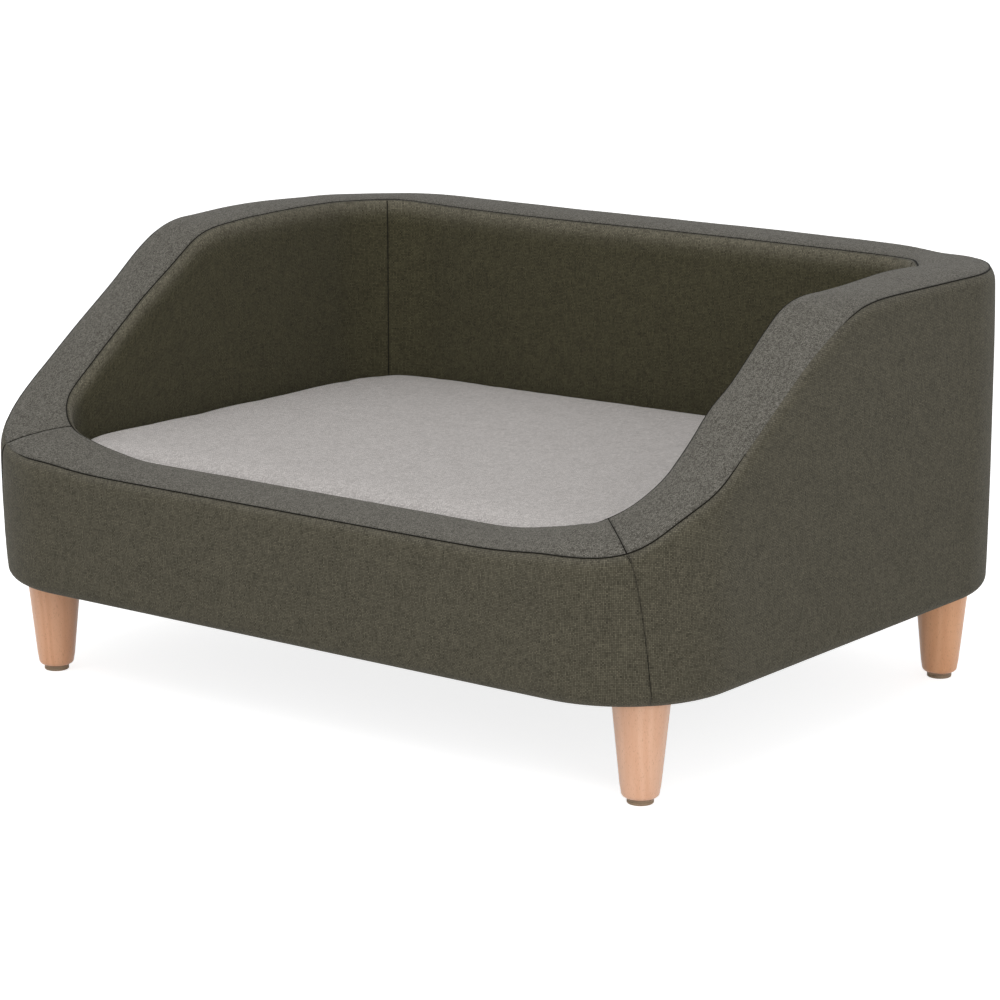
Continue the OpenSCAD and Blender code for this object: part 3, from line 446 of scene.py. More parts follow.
def finish_piece(piece, material, slot, *nodes, body="sofa"):
    """Gives a piece its finish and its body, and hides the CAD pieces it stands for; the slot is not used."""
    piece.data.materials.append(bpy.data.materials[material])
    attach(piece, body)
    if nodes:
        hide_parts(*nodes)


def finish_cloth(piece, material, slot, node, body="sofa"):
    """Finishes a stretched sheet."""
    finish_piece(piece, material, slot, node, body=body)
    places = [loop.uv for loop in piece.data.uv_layers["Cloth"].data]


def outer_swell(shape, depth, from_top):
    """How far the padded outer face stands out, by its depth from 0 to 1 and its distance under the seam."""
    return (shape.face_bulge * (0.55 + 0.45 * math.sin(math.pi * (1 - depth)) ** 0.7)
            * min(1.0, from_top / (9 * MM)) ** 0.6)


def outer_panel(walls, name, start, end, seed):
    """The cloth of one outer side, from the part turned under the base up to the rim's seam."""
    shape = walls.shape
    base_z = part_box("front_outer_cover")[0].z
    r = shape.hem_radius
    low = shape.hem_low + r
    tuck_steps, roll_steps, face_steps = 8, 9, 22
    ease, full_corner = 13 * MM, 4.5 * MM
    under = [(r + shape.hem_turn * (1 - i / tuck_steps),
              base_z - (base_z - shape.hem_low) * (0.5 - 0.5 * math.cos(math.pi * i / tuck_steps)))
             for i in range(tuck_steps)]
    under += [(r * (1 - math.sin(a)), low - r * math.cos(a))
              for a in (math.pi / 2 * i / roll_steps for i in range(roll_steps + 1))]
    tucked = [0.0]
    for here, ahead in zip(under, under[1:]):
        tucked.append(tucked[-1] + math.dist(here, ahead))
    top_marks = [m * MM for m in reversed(SEAM_MARKS)]
    far_down = 1.0
    grid = []
    for s in marks(start, end, COLUMN_STEP):
        height = walls.place(s)["high"] - low
        side = min(s - start, end - s)
        edge, firm = drawn_in(side), walls.sewn(s)
        face = height - top_marks[0]
        rows = [(inset, z - low, far_down, v - tucked[-1]) for (inset, z), v in zip(under, tucked)]
        rows += [(0.0, None, height - face * i / face_steps, None) for i in range(1, face_steps)]
        rows += [(shape.seam_set * max(0.0, 1 - mark / ease) ** 2, None, mark, None)
                 for mark in top_marks]
        column = []
        for inset, hem_z, from_top, hem_v in rows:
            hem = hem_z is not None
            depth = 1.0 if hem else from_top / height
            around = walls.slant(s, depth)
            place = walls.place(around)
            normal = place["normal"]
            base = place["outer"].to_3d() - normal * (inset - place["fuller"] * (1 - depth))
            z = low + hem_z if hem else place["high"] - from_top - depth * (place["high"] - low - height)
            base.z = z
            top = drawn_in(from_top)
            swell = outer_swell(shape, depth, from_top) * (max(0.0, 1 - inset / r) if hem else 1)
            swell *= 1 - 0.45 * min(1.0, place["fuller"] / full_corner) * (1 - depth)
            swell += shape.unevenness * hollows(base + Vector((seed, 0, 0)), size=0.07) * (0.3 if hem else 1)
            swell += puckers(shape, (s, from_top, seed), (z, side, seed + 5))
            swell *= 1 - top
            point = (base + normal * (swell - shape.corner_pinch * edge * (1 - top))
                     + place["outer_draw"] * shape.pinch * top * firm)
            # Painted shade in the seams' grooves: darkest at the top seam, less where it is drawn in less,
            # and at the upright corner seams
            dark = max(firm ** 2 * painted_seam_shade(from_top), 0.6 * painted_seam_shade(side, width=0.7 * MM))
            # Painted light: lighter just under the top seam, where the cloth rolls up towards the light
            painted_light = painted_light_fade(from_top, reach=9 * MM)
            column.append((point, (around, hem_v if hem else z - low), dark, painted_light))
        grid.append(column)
    return cloth_sheet(name, grid, shape.cloth)


def rim_rise(shape, share):
    """How far the rim rises at a share of its width."""
    return shape.rim_crown * (1 - abs(2 * share - 1) ** 2.6)


def rim_panel(walls, name, start, end, seed):
    """The rim's cloth between its outer and its inner seam."""
    shape, width = walls.shape, walls.rim_width
    grid = []
    run, last = 0.0, None
    for s in marks(start, end, COLUMN_STEP):
        place = walls.place(s)
        a, b = place["outer_seam"], place["inner_seam"]
        middle = (a + b) / 2
        run += (middle - last).length if last else 0.0
        last = middle
        side = min(s - start, end - s)
        edge, firm = drawn_in(side), walls.sewn(s)
        column = []
        for row in marks(0.0, width, step=3.4 * MM):
            base = a.lerp(b, row / width)
            out, inn = drawn_in(row), drawn_in(width - row)
            swell = shape.unevenness * hollows(base + Vector((0, seed, 0)), size=0.06)
            swell += puckers(shape, (s, row, seed), (s, width - row, seed + 3), (row, side, seed + 5))
            lift = rim_rise(shape, row / width) + swell * (1 - edge) - shape.mitre_pinch * edge
            point = (base + place["up"] * lift * (1 - out) * (1 - inn)
                     + place["outer_draw"] * shape.pinch * out * firm
                     + place["inner_draw"] * shape.pinch * inn)
            # Painted shade in the grooves of both seams and of the mitre seams at the panel's ends
            dark = max(firm ** 2 * painted_seam_shade(row), painted_seam_shade(width - row),
                       painted_seam_shade(side, width=0.9 * MM))
            column.append((point, (run, row), dark, 0.0))
        grid.append(column)
    return cloth_sheet(name, grid, shape.cloth)


def rim_foam(walls, name, start, end):
    """A block of foam that fills the rim between its cloth and the wall's padding."""
    shape, width = walls.shape, walls.rim_width
    under, skirt, deep, least = 2.7 * MM, 2.6 * MM, 16.0 * MM, 3 * MM
    shares = [(skirt + (width - 2 * skirt) * i / 12) / width for i in range(13)]
    steps = round((end - start) / (6 * MM))
    profiles = []
    for i in range(steps + 1):
        s = start + (end - start) * i / steps
        place = walls.place(s)
        high, inner_high = walls.even_plan(s)[3:]
        tops, bottoms = [], []
        for share in shares:
            point = place["outer_seam"].lerp(place["inner_seam"], share)
            edge = max(drawn_in(share * width), drawn_in((1 - share) * width))
            rise = rim_rise(shape, share) * (1 - edge) - under - shape.pinch * edge
            tops.append(point + place["up"] * rise)
            low = high + (inner_high - high) * share - deep
            bottoms.append(Vector((point.x, point.y, min(low, tops[-1].z - least))))
        profiles.append(tops + bottoms[::-1] + tops[:1])
    bm = bmesh.new()
    for vert, i, j in laid_grid(bm, len(profiles), len(profiles[0])):
        vert.co = profiles[i][j]
    bmesh.ops.remove_doubles(bm, verts=bm.verts, dist=0.01 * MM)
    bmesh.ops.holes_fill(bm, edges=bm.edges)
    bmesh.ops.recalc_face_normals(bm, faces=bm.faces)
    return mesh_piece(name, bm)


def plan_sheet(name, outline, height, thickness):
    """A sheet in the shape of an outline, fixed round its edge, with its height given by a function."""
    steps = 64
    grid = []
    for i in range(steps + 1):
        column = []
        for j in range(steps + 1):
            u, v = 2 * i / steps - 1, 2 * j / steps - 1
            r = max(abs(u), abs(v))
            point = Vector((0, 0, 0))
            if r > 0:
                a, b = u / r, v / r
                turn = (a if b <= -1 else 2 + b if a >= 1 else 4 - a if b >= 1 else 6 - b) % 8
                point = outline(turn / 8) * r
            point.z = height(point, r)
            column.append((point, point.xy, 0.0, 0.0))
        grid.append(column)
    return cloth_sheet(name, grid, thickness)


def inner_swell(shape, place, depth):
    """How far the padded inner face stands in from its even line, at a depth under the seam."""
    bulge_low, least_top, full_top, fuller_reach = 0.2, 0.212, 0.04, 0.12
    top, set_back = place["inner_high"], place["set_back"]
    room = max(0.0, min(1.0, (top - least_top) / full_top))
    roll = max(0.0, 1 - depth / (shape.inner_roll * (0.6 + 0.4 * room)))
    bulge = 0.0
    if room:
        bulge = shape.inner_bulge * room * math.sin(math.pi * min(1.0, depth / (top - bulge_low)))
    return (bulge * set_back / shape.inner_set - set_back * (1 - math.sqrt(1 - roll ** 2))
            + place["inner_fuller"] * max(0.0, 1 - depth / fuller_reach))


def inner_panel(walls, name, start, end, seed):
    """The cloth of one inner side, from the rim's seam down to the deck."""
    shape = walls.shape
    deck, mattress_level, fade, steps = 0.1066, 0.203, 0.02, 30
    grid = []
    run, last = 0.0, None
    for s in marks(start, end, COLUMN_STEP):
        place = walls.place(s)
        inward, inner, top = place["inward"], place["inner"].to_3d(), place["inner_high"]
        run += (inner - last).length if last else 0.0
        last = inner
        side = min(s - start, end - s)
        edge = drawn_in(side)
        depths = [m * MM for m in SEAM_MARKS]
        depths += [depths[-1] + (top - deck - depths[-1]) * i / steps for i in range(1, steps + 1)]
        column = []
        for depth in depths:
            base = inner + inward * inner_swell(shape, place, depth)
            base.z = z = top - depth
            loose = max(0.0, min(1.0, (z - mattress_level) / fade))
            out = drawn_in(depth)
            swell = loose * shape.unevenness * hollows(base + Vector((0, 0, seed)), size=0.07)
            swell += loose * puckers(shape, (s, depth, seed), (z, side, seed + 5))
            swell -= (1 - loose) * 0.2 * MM
            swell *= (1 - out) * (1 - edge)
            point = (base + inward * (swell - shape.corner_pinch * edge * (1 - out))
                     + place["inner_draw"] * shape.pinch * out)
            # Painted shade in the grooves of the top seam and the upright well seams
            dark = max(painted_seam_shade(depth, width=1.1 * MM), painted_seam_shade(side))
            # Painted light: lighter just under the top seam, fading out 20 mm down into the well's painted
            # shade
            column.append((point, (run, -depth), dark, painted_light_fade(depth, reach=20 * MM)))
        grid.append(column)
    return cloth_sheet(name, grid, shape.cloth)


def turned(name, profile, centre, steps):
    """A turned solid from a profile of radius and height pairs, closed at both poles."""
    bm = bmesh.new()
    verts = [bm.verts.new((r, 0, z)) for r, z in profile]
    edges = [bm.edges.new(pair) for pair in zip(verts, verts[1:])]
    bmesh.ops.spin(bm, geom=verts + edges, cent=(0, 0, 0), axis=(0, 0, 1), angle=2 * math.pi, steps=steps,
                   use_merge=True)
    bmesh.ops.remove_doubles(bm, verts=bm.verts, dist=1e-6)
    bmesh.ops.recalc_face_normals(bm, faces=bm.faces)
    bmesh.ops.translate(bm, verts=bm.verts, vec=centre)
    return mesh_piece(name, bm)


def lofted(name, rings):
    """A closed solid through rings of points, which all have the same count."""
    bm = bmesh.new()
    bmesh.ops.create_circle(bm, segments=len(rings[0]), radius=1)
    ring = sorted(bm.verts, key=lambda v: math.atan2(v.co.y, v.co.x))
    first = edges = list(bm.edges)
    for level, points in enumerate(rings):
        if level:
            made = bmesh.ops.extrude_edge_only(bm, edges=edges)["geom"]
            edges = [g for g in made if isinstance(g, bmesh.types.BMEdge)]
            links = {}
            for vert in (g for g in made if isinstance(g, bmesh.types.BMVert)):
                for edge in vert.link_edges:
                    other = edge.other_vert(vert)
                    if other in ring:
                        links[other] = vert
            ring = [links[vert] for vert in ring]
        for vert, point in zip(ring, points):
            vert.co = point
    for end in (first, edges):
        bmesh.ops.contextual_create(bm, geom=end)
    bmesh.ops.recalc_face_normals(bm, faces=bm.faces)
    return mesh_piece(name, bm)


def thread_tube(name, points, radius):
    """A round thread along a line of points, closed at both ends."""
    sides = 8
    corners = [radius * Vector((math.cos(2 * math.pi * k / sides), math.sin(2 * math.pi * k / sides), 0))
               for k in range(sides)]
    rings = []
    for point, behind, ahead in zip(points, points[:1] + points, points[1:] + points[-1:]):
        turn = (ahead - behind).to_track_quat("Z", "Y")
        rings.append([point + turn @ corner for corner in corners])
    return lofted(name, rings)


# Materials


class Wiring:
    """Adds nodes to a tree and joins them."""

    def __init__(self, tree):
        self.tree = tree

    def add(self, kind, inputs=None, **settings):
        node = self.tree.nodes.new(kind)
        for key, value in settings.items():
            setattr(node, key, value)
        for key, value in (inputs or {}).items():
            self.feed(node.inputs[key], value)
        return node

    def feed(self, socket, value):
        if isinstance(value, bpy.types.NodeSocket):
            self.tree.links.new(value, socket)
        else:
            socket.default_value = value

    def math(self, operation, a, b=0.0, clamp=False):
        return self.add("ShaderNodeMath", {0: a, 1: b}, operation=operation, use_clamp=clamp).outputs[0]

    def times(self, a, b):
        return self.math("MULTIPLY", a, b)

    def plus(self, a, b, clamp=False):
        return self.math("ADD", a, b, clamp)

    def mix(self, factor, a, b, blend="MIX"):
        node = self.add("ShaderNodeMix", {0: factor, 6: a, 7: b}, data_type="RGBA", blend_type=blend)
        return node.outputs[2]

    def tinted(self, tone, tint):
        return self.mix(1.0, tone, tint, "MULTIPLY")

    def between(self, share, a, b):
        return self.add("ShaderNodeMix", {0: share, 2: a, 3: b}, data_type="FLOAT").outputs[0]

    def noise(self, vector, scale, detail=2.0, rough=0.5):
        return self.add("ShaderNodeTexNoise", {"Vector": vector, "Scale": scale, "Detail": detail,
                                               "Roughness": rough}).outputs["Fac"]

    def split(self, vector):
        return self.add("ShaderNodeSeparateXYZ", {0: vector}).outputs[:]

    def combine(self, x, y, z):
        return self.add("ShaderNodeCombineXYZ", {0: x, 1: y, 2: z}).outputs[0]

    def remap(self, value, low, high, to_low=0.0, to_high=1.0):
        node = self.add("ShaderNodeMapRange", {0: value, 1: low, 2: high, 3: to_low, 4: to_high})
        return node.outputs[0]

    def group(self, name, inputs):
        return self.add("ShaderNodeGroup", inputs, node_tree=bpy.data.node_groups[name]).outputs

    def marked(self, name):
        """A mark that the mesh carries at its points."""
        return self.add("ShaderNodeAttribute", attribute_name=name, attribute_type="GEOMETRY").outputs["Fac"]

    def relief(self, shader, height, strength, distance):
        bump = self.add("ShaderNodeBump", {"Strength": strength, "Distance": distance, "Height": height})
        self.feed(shader.inputs["Normal"], bump.outputs[0])

    def seen(self):
        """1 where the camera looks, straight or by a mirror or glass, and 0 where only light is gathered."""
        path = self.add("ShaderNodeLightPath").outputs
        return self.math("MAXIMUM", path["Is Camera Ray"],
                         self.math("MAXIMUM", path["Is Glossy Ray"], path["Is Transmission Ray"]))


def node_group(name, inputs, outputs):
    """A new node group: its wiring, what it is given and what it gives out."""
    tree = bpy.data.node_groups.new(name, "ShaderNodeTree")
    for label, kind, default in inputs:
        socket = tree.interface.new_socket(label, in_out="INPUT", socket_type="NodeSocket" + kind)
        if default is not None:
            socket.default_value = default
    for label, kind in outputs:
        tree.interface.new_socket(label, in_out="OUTPUT", socket_type="NodeSocket" + kind)
    given, out = tree.nodes.new("NodeGroupInput").outputs, tree.nodes.new("NodeGroupOutput").inputs
    return Wiring(tree), given, out


def make_weave():
    """Plain weave of mottled threads: colour and relief from a vector in metres."""
    w, given, out = node_group("Mottled weave", [
        ("Vector", "Vector", None), ("Dark", "Color", (0.05, 0.05, 0.04, 1)),
        ("Light", "Color", (0.2, 0.2, 0.2, 1)), ("Pitch", "Float", 0.0009), ("Slub", "Float", 0.012),
        ("Contrast", "Float", 1.0)],
        [("Color", "Color"), ("Relief", "Float")])
    flat = w.split(given["Vector"])[:2]
    x, y = [w.math("DIVIDE", part, given["Pitch"]) for part in flat]
    u, v = [w.math("DIVIDE", part, given["Slub"]) for part in flat]
    warp, weft = w.math("FLOOR", x), w.math("FLOOR", y)
    over = w.math("MODULO", w.math("ABSOLUTE", w.plus(warp, weft)), 2.0)
    ridge_x, ridge_y = [w.math("SINE", w.times(w.math("FRACT", part), math.pi)) for part in (x, y)]
    # Each thread takes its shade from a strip of the noise of its own
    warp_shade = w.noise(w.combine(w.times(warp, 7.31), v, 2.0), 1.0, 2.0, 0.6)
    weft_shade = w.noise(w.combine(u, w.times(weft, 5.77), 9.0), 1.0, 2.0, 0.6)
    speck = w.add("ShaderNodeTexWhiteNoise", {"Vector": w.combine(warp, weft, 0.0)},
                  noise_dimensions="3D").outputs["Value"]
    cloud = w.noise(w.combine(u, v, 0.0), 0.35)
    shade = w.plus(w.times(w.between(over, warp_shade, weft_shade), 0.75), w.times(speck, 0.2))
    shade = w.plus(shade, w.times(over, 0.05))
    shade = w.plus(shade, w.times(w.math("SUBTRACT", cloud, 0.5), 0.1))
    shade = w.plus(w.times(w.math("SUBTRACT", shade, 0.5), given["Contrast"]), 0.5, clamp=True)
    relief = w.between(over, w.times(ridge_x, w.plus(w.times(ridge_y, 0.45), 0.55)),
                       w.times(ridge_y, w.plus(w.times(ridge_x, 0.45), 0.55)))
    # Painted shade in the gaps between the threads and painted light on their tops, from the relief
    deep = w.remap(relief, 0.0, 0.8, 0.45, 1.15)
    w.feed(out["Color"], w.tinted(w.mix(shade, given["Dark"], given["Light"]), w.combine(deep, deep, deep)))
    w.feed(out["Relief"], relief)


def make_grain():
    """Straight timber grain with short flecks: colour, relief and roughness from a vector in metres."""
    w, given, out = node_group("Timber grain", [
        ("Vector", "Vector", None), ("Pale", "Color", (0.7, 0.5, 0.35, 1)),
        ("Warm", "Color", (0.5, 0.3, 0.2, 1))],
        [("Color", "Color"), ("Relief", "Float"), ("Roughness", "Float")])
    x, y, z = w.split(given["Vector"])
    along = w.combine(x, y, w.times(z, 0.06))
    # Growth rings, fine fibres and short dark flecks
    bands = w.math("SINE", w.plus(w.times(x, 520.0), w.times(w.noise(along, 40.0), 26.0)))
    bands = w.remap(bands, -1.0, 1.0, 0.15, 0.85)
    fine = w.noise(along, 900.0, 3.0, 0.7)
    fleck = w.remap(w.noise(w.combine(x, y, w.times(z, 0.22)), 1700.0, 1.0), 0.63, 0.72)
    shade = w.plus(w.times(bands, 0.45), w.times(fine, 0.55), clamp=True)
    wood = w.mix(shade, given["Pale"], given["Warm"])
    w.feed(out["Color"], w.mix(w.times(fleck, 0.55), wood, w.tinted(wood, (0.62, 0.52, 0.45, 1))))
    w.feed(out["Relief"], w.math("SUBTRACT", fine, w.times(fleck, 0.6)))
    w.feed(out["Roughness"], w.remap(fine, 0.2, 0.8, 0.34, 0.5))


def make_speckle():
    """Fine unevenness for moulded, cast and cut surfaces: a mask and a relief."""
    w, given, out = node_group("Fine speckle", [("Vector", "Vector", None), ("Grain", "Float", 800.0)],
                               [("Mask", "Float"), ("Relief", "Float")])
    coarse = w.noise(given["Vector"], w.times(given["Grain"], 0.15), 3.0, 0.6)
    fine = w.noise(given["Vector"], given["Grain"], 2.0, 0.6)
    w.feed(out["Mask"], w.plus(w.times(coarse, 0.5), w.times(fine, 0.5)))
    w.feed(out["Relief"], fine)


def start_material(name, settings):
    """A new material with its shader set: its wiring and the shader."""
    material = bpy.data.materials.new(name)
    material.use_nodes = True
    material.node_tree.nodes.clear()
    w = Wiring(material.node_tree)
    shader = w.add("ShaderNodeBsdfPrincipled", settings)
    w.add("ShaderNodeOutputMaterial", {"Surface": shader.outputs[0]})
    return w, shader


def rgba(tone):
    return (*tone, 1.0)


def woven_material(name, dark, light, pitch, slub, contrast, painted_light_gain=1.0):
    """Woven cloth with painted shade along its seams, and painted light that lightens it just under its top
    seams where the gain is above 1.
    """
    w, shader = start_material(name, {"Roughness": 0.92, "Specular IOR Level": 0.25, "Sheen Weight": 0.06,
                                      "Sheen Roughness": 0.45})
    flat = w.add("ShaderNodeUVMap", uv_map="Cloth").outputs[0]
    weave = w.group("Mottled weave", {"Vector": flat, "Dark": rgba(dark), "Light": rgba(light),
                                      "Pitch": pitch, "Slub": slub, "Contrast": contrast})
    tone = weave["Color"]
    # Painted light: lighter in the band that the mesh marks under a top seam, by the gain
    if painted_light_gain > 1:
        paler = (painted_light_gain, painted_light_gain * 1.01, painted_light_gain * painted_light_gain ** 0.35, 1)
        tone = w.mix(w.marked("painted_light"), tone, w.tinted(tone, paler))
    # Painted shade: darker where the mesh marks a seam's groove; on a zip tape the mark is its real sewing
    # line
    tone = w.mix(w.marked("seam"), tone, w.tinted(tone, (0.22, 0.22, 0.21, 1)))
    w.feed(shader.inputs["Base Color"], tone)
    w.relief(shader, weave["Relief"], strength=0.55, distance=pitch * 0.25)


def wood_material(name, pale, warm, coat=0.25, offset=(0, 0, 0)):
    """Timber with its grain upright, cut from another spot of the grain by the offset."""
    w, shader = start_material(name, {"Coat Weight": coat, "Coat Roughness": 0.35})
    place = w.add("ShaderNodeTexCoord").outputs["Object"]
    place = w.add("ShaderNodeMapping", {"Vector": place, "Location": offset}).outputs[0]
    grain = w.group("Timber grain", {"Vector": place, "Pale": rgba(pale), "Warm": rgba(warm)})
    w.feed(shader.inputs["Base Color"], grain["Color"])
    w.feed(shader.inputs["Roughness"], grain["Roughness"])
    w.relief(shader, grain["Relief"], strength=0.3, distance=0.15 * MM)


def speckled_material(name, dark, light, grain, rough, metallic=0.0, relief=0.0001, specular=0.5):
    """A finely uneven finish between two close colours."""
    w, shader = start_material(name, {"Metallic": metallic, "Specular IOR Level": specular})
    place = w.add("ShaderNodeTexCoord").outputs["Object"]
    speckle = w.group("Fine speckle", {"Vector": place, "Grain": grain})
    mask = w.remap(speckle["Mask"], 0.35, 0.65)
    w.feed(shader.inputs["Base Color"], w.mix(mask, rgba(dark), rgba(light)))
    w.feed(shader.inputs["Roughness"], w.remap(mask, 0.0, 1.0, rough - 0.08, rough + 0.08))
    w.relief(shader, speckle["Relief"], strength=0.5, distance=relief)


# The mattress and its zip


def zip_tape(side):
    """One of the zip's two woven tapes, above or below the coil, slightly wavy, with its sewing line."""
    low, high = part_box("zip_tapes")
    coil_low, coil_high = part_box("zip_coil")
    inner, outer = (coil_high.z, high.z) if side > 0 else (coil_low.z, low.z)
    shares = [0.02, 0.1, 0.25, 0.4, 0.55, 0.62, 0.66, 0.7, 0.74, 0.8, 0.9, 1.0]
    sewing_line, steps = 0.68, 140
    grid = []
    for i in range(steps + 1):
        x = low.x + (high.x - low.x) * i / steps
        wave = 0.12 * MM * (1 + math.sin(x / 0.011 + side))
        column = []
        for share in shares:
            point = Vector((x, high.y - 0.05 * MM - wave * share, inner + (outer - inner) * share))
            column.append((point, point.xz, math.exp(-((share - sewing_line) / 0.03) ** 2), 0.0))
        grid.append(column if side < 0 else column[::-1])
    piece = cloth_sheet("zip_tape_" + ("upper" if side > 0 else "lower"), grid, thickness=0.5 * MM)
    finish_cloth(piece, "Zip tape", "zip_tape", "zip_tapes", body="mattress")


def zip_teeth():
    """The zip's coil: two rows of teeth that mesh along the middle of a narrow strip."""
    low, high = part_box("zip_coil")
    pitch, tall, half_tooth, reach = 1.6 * MM, 1.35 * MM, 0.36 * MM, 0.35 * MM
    middle = (low.z + high.z) / 2
    bm = bmesh.new()

    def block(a, b):
        shift = Matrix.Translation((a + b) / 2)
        bmesh.ops.create_cube(bm, size=1.0, matrix=shift @ Matrix.Diagonal((b - a).to_4d()))

    block(low, Vector((high.x, high.y - tall + 0.05 * MM, high.z)))
    for i in range(int((high.x - low.x) / pitch) - 1):
        for side in (-1, 1):
            x = low.x + pitch * (i + 1 + side / 4)
            edge = high.z if side > 0 else low.z
            near, far = sorted((middle - side * reach, edge - side * 0.1 * MM))
            block(Vector((x - half_tooth, high.y - tall, near)), Vector((x + half_tooth, high.y, far)))
    piece = mesh_piece("zip_teeth", bm, smooth=False)
    bevel = piece.modifiers.new("Rounded", "BEVEL")
    bevel.width = 0.2 * MM
    bevel.segments = 2
    finish_piece(piece, "Zip coil", "zip_coil", "zip_coil", body="mattress")


def remesh_evenly(piece, size):
    """Gives a closed piece even faces and smooth shading."""
    remesh = piece.modifiers.new("Even faces", "REMESH")
    remesh.mode = "VOXEL"
    remesh.voxel_size = size
    remesh.use_smooth_shade = True
    old = piece.data
    mesh = bpy.data.meshes.new_from_object(piece.evaluated_get(bpy.context.evaluated_depsgraph_get()))
    piece.modifiers.clear()
    piece.data = mesh
    bpy.data.meshes.remove(old)
    for polygon in mesh.polygons:
        polygon.use_smooth = True


def shape_mattress(piece, props, half_x, half_y, seam_low, seam_high, top):
    """Crowns the top, lays its left back corner lower and draws the sides in."""
    tip_reach, near_edge, bow_end = 0.03, 0.03, 0.05
    for vert in piece.data.vertices:
        p = vert.co
        inside_x, inside_y = 1 - abs(p.x) / half_x, 1 - abs(p.y) / half_y
        near = max(0.0, min(1.0, min(inside_x, inside_y)))
        if p.z > seam_high:
            from_corner = math.hypot(0.7 * (p.x + half_x), p.y - half_y) / props.corner_reach
            fuller = props.edge_rise * (1 - math.exp(-from_corner ** 1.5)) - props.corner_drop
            from_tip = math.hypot(p.x + half_x, p.y + half_y) / tip_reach
            fuller -= props.tip_drop * math.exp(-from_tip ** 2)
            lift = props.crown * (1 - (1 - near) ** 6) + fuller * (0.35 + 0.65 * (1 - near) ** 3)
            p.z += lift * min(1.0, (p.z - seam_high) / (top - seam_high))
        rise = (p.z - seam_low) / (seam_high - seam_low)
        draw = props.boxing_draw * math.sin(math.pi * rise) if 0 < rise < 1 else 0.0
        along_x = max(0.0, 1 - (p.y / (half_y - bow_end)) ** 2)
        along_y = max(0.0, 1 - (p.x / (half_x - bow_end)) ** 2)
        edge_x = max(0.0, 1 - (half_x - abs(p.x)) / near_edge)
        edge_y = max(0.0, 1 - (half_y - abs(p.y)) / near_edge)
        p.x -= math.copysign((draw + props.side_draw * along_x) * edge_x, p.x)
        p.y -= math.copysign((draw + props.side_draw * along_y) * edge_y, p.y)


def puff(piece, pressure, cap, floor):
    """Swells a padded piece by cloth simulation, within a cap on the movement, but not beside the zip."""
    scene = bpy.context.scene
    start = [v.co.copy() for v in piece.data.vertices]
    cloth = piece.modifiers.new("Cloth", "CLOTH")
    cloth.settings.use_pressure = True
    cloth.settings.uniform_pressure_force = pressure
    cloth.settings.effector_weights.gravity = 0.0
    cloth.settings.quality = 4
    cloth.settings.tension_stiffness = 40
    cloth.settings.compression_stiffness = 40
    cloth.settings.bending_stiffness = 2.0
    cloth.collision_settings.use_collision = False
    cloth.point_cache.frame_end = 16
    for step in range(1, 15):
        scene.frame_set(step)
    graph = bpy.context.evaluated_depsgraph_get()
    puffed = piece.evaluated_get(graph).to_mesh()
    moved = [v.co.copy() for v in puffed.vertices]
    piece.evaluated_get(graph).to_mesh_clear()
    piece.modifiers.clear()
    scene.frame_set(1)
    zip_level, zip_reach, back_side = 0.1466, 0.03, 0.19
    for vert, before, after in zip(piece.data.vertices, start, moved):
        step = after - before
        if step.length > 0:
            near_zip = 0.0
            if before.y > back_side:
                near_zip = math.exp(-((before.z - zip_level) / zip_reach) ** 4)
            step = step * (cap * math.tanh(step.length / cap) / step.length) * (1 - near_zip)
        vert.co = before + step
        vert.co.z = max(vert.co.z, floor)


def seam_mattress(piece, seam_low, seam_high, floor):
    """Draws the cloth in along the upper and lower seams and adds soft hollows."""
    drawn, reach, deep = 1.6 * MM, 4.5 * MM, 0.5 * MM
    normals = [v.normal.copy() for v in piece.data.vertices]
    for vert, normal in zip(piece.data.vertices, normals):
        p = vert.co
        level = min(abs(p.z - seam_high), abs(p.z - seam_low))
        flat = Vector((normal.x, normal.y, 0))
        swell = deep * hollows(p, size=0.09) * abs(normal.z)
        p -= flat * (drawn * math.exp(-(level / reach) ** 2) * flat.length)
        p.z += swell if p.z > seam_high else 0
        p.z = max(p.z, floor)


def unwrap_mattress(piece, seam_low, seam_high):
    """Lays the cloth's threads along the mattress and marks painted shade along its seams on the upright
    sides.
    """
    mesh = piece.data
    layer = mesh.uv_layers.new(name="Cloth")
    seam_shade_marks = mesh.attributes.new("seam", "FLOAT", "POINT")
    for vert in mesh.vertices:
        level = min(abs(vert.co.z - seam_high), abs(vert.co.z - seam_low))
        upright = 1 - abs(vert.normal.z)
        # Painted shade under the seams' rolls, on upright faces only
        seam_shade_marks.data[vert.index].value = 0.6 * upright * painted_seam_shade(level, width=3 * MM)
    for polygon in mesh.polygons:
        normal = polygon.normal
        flat = abs(normal.z) > 0.6
        across, along = (0, 1) if flat else (1, 2) if abs(normal.x) > abs(normal.y) else (0, 2)
        for corner in polygon.loop_indices:
            p = mesh.vertices[mesh.loops[corner].vertex_index].co
            layer.data[corner].uv = (p[across], p[along])


# Operators


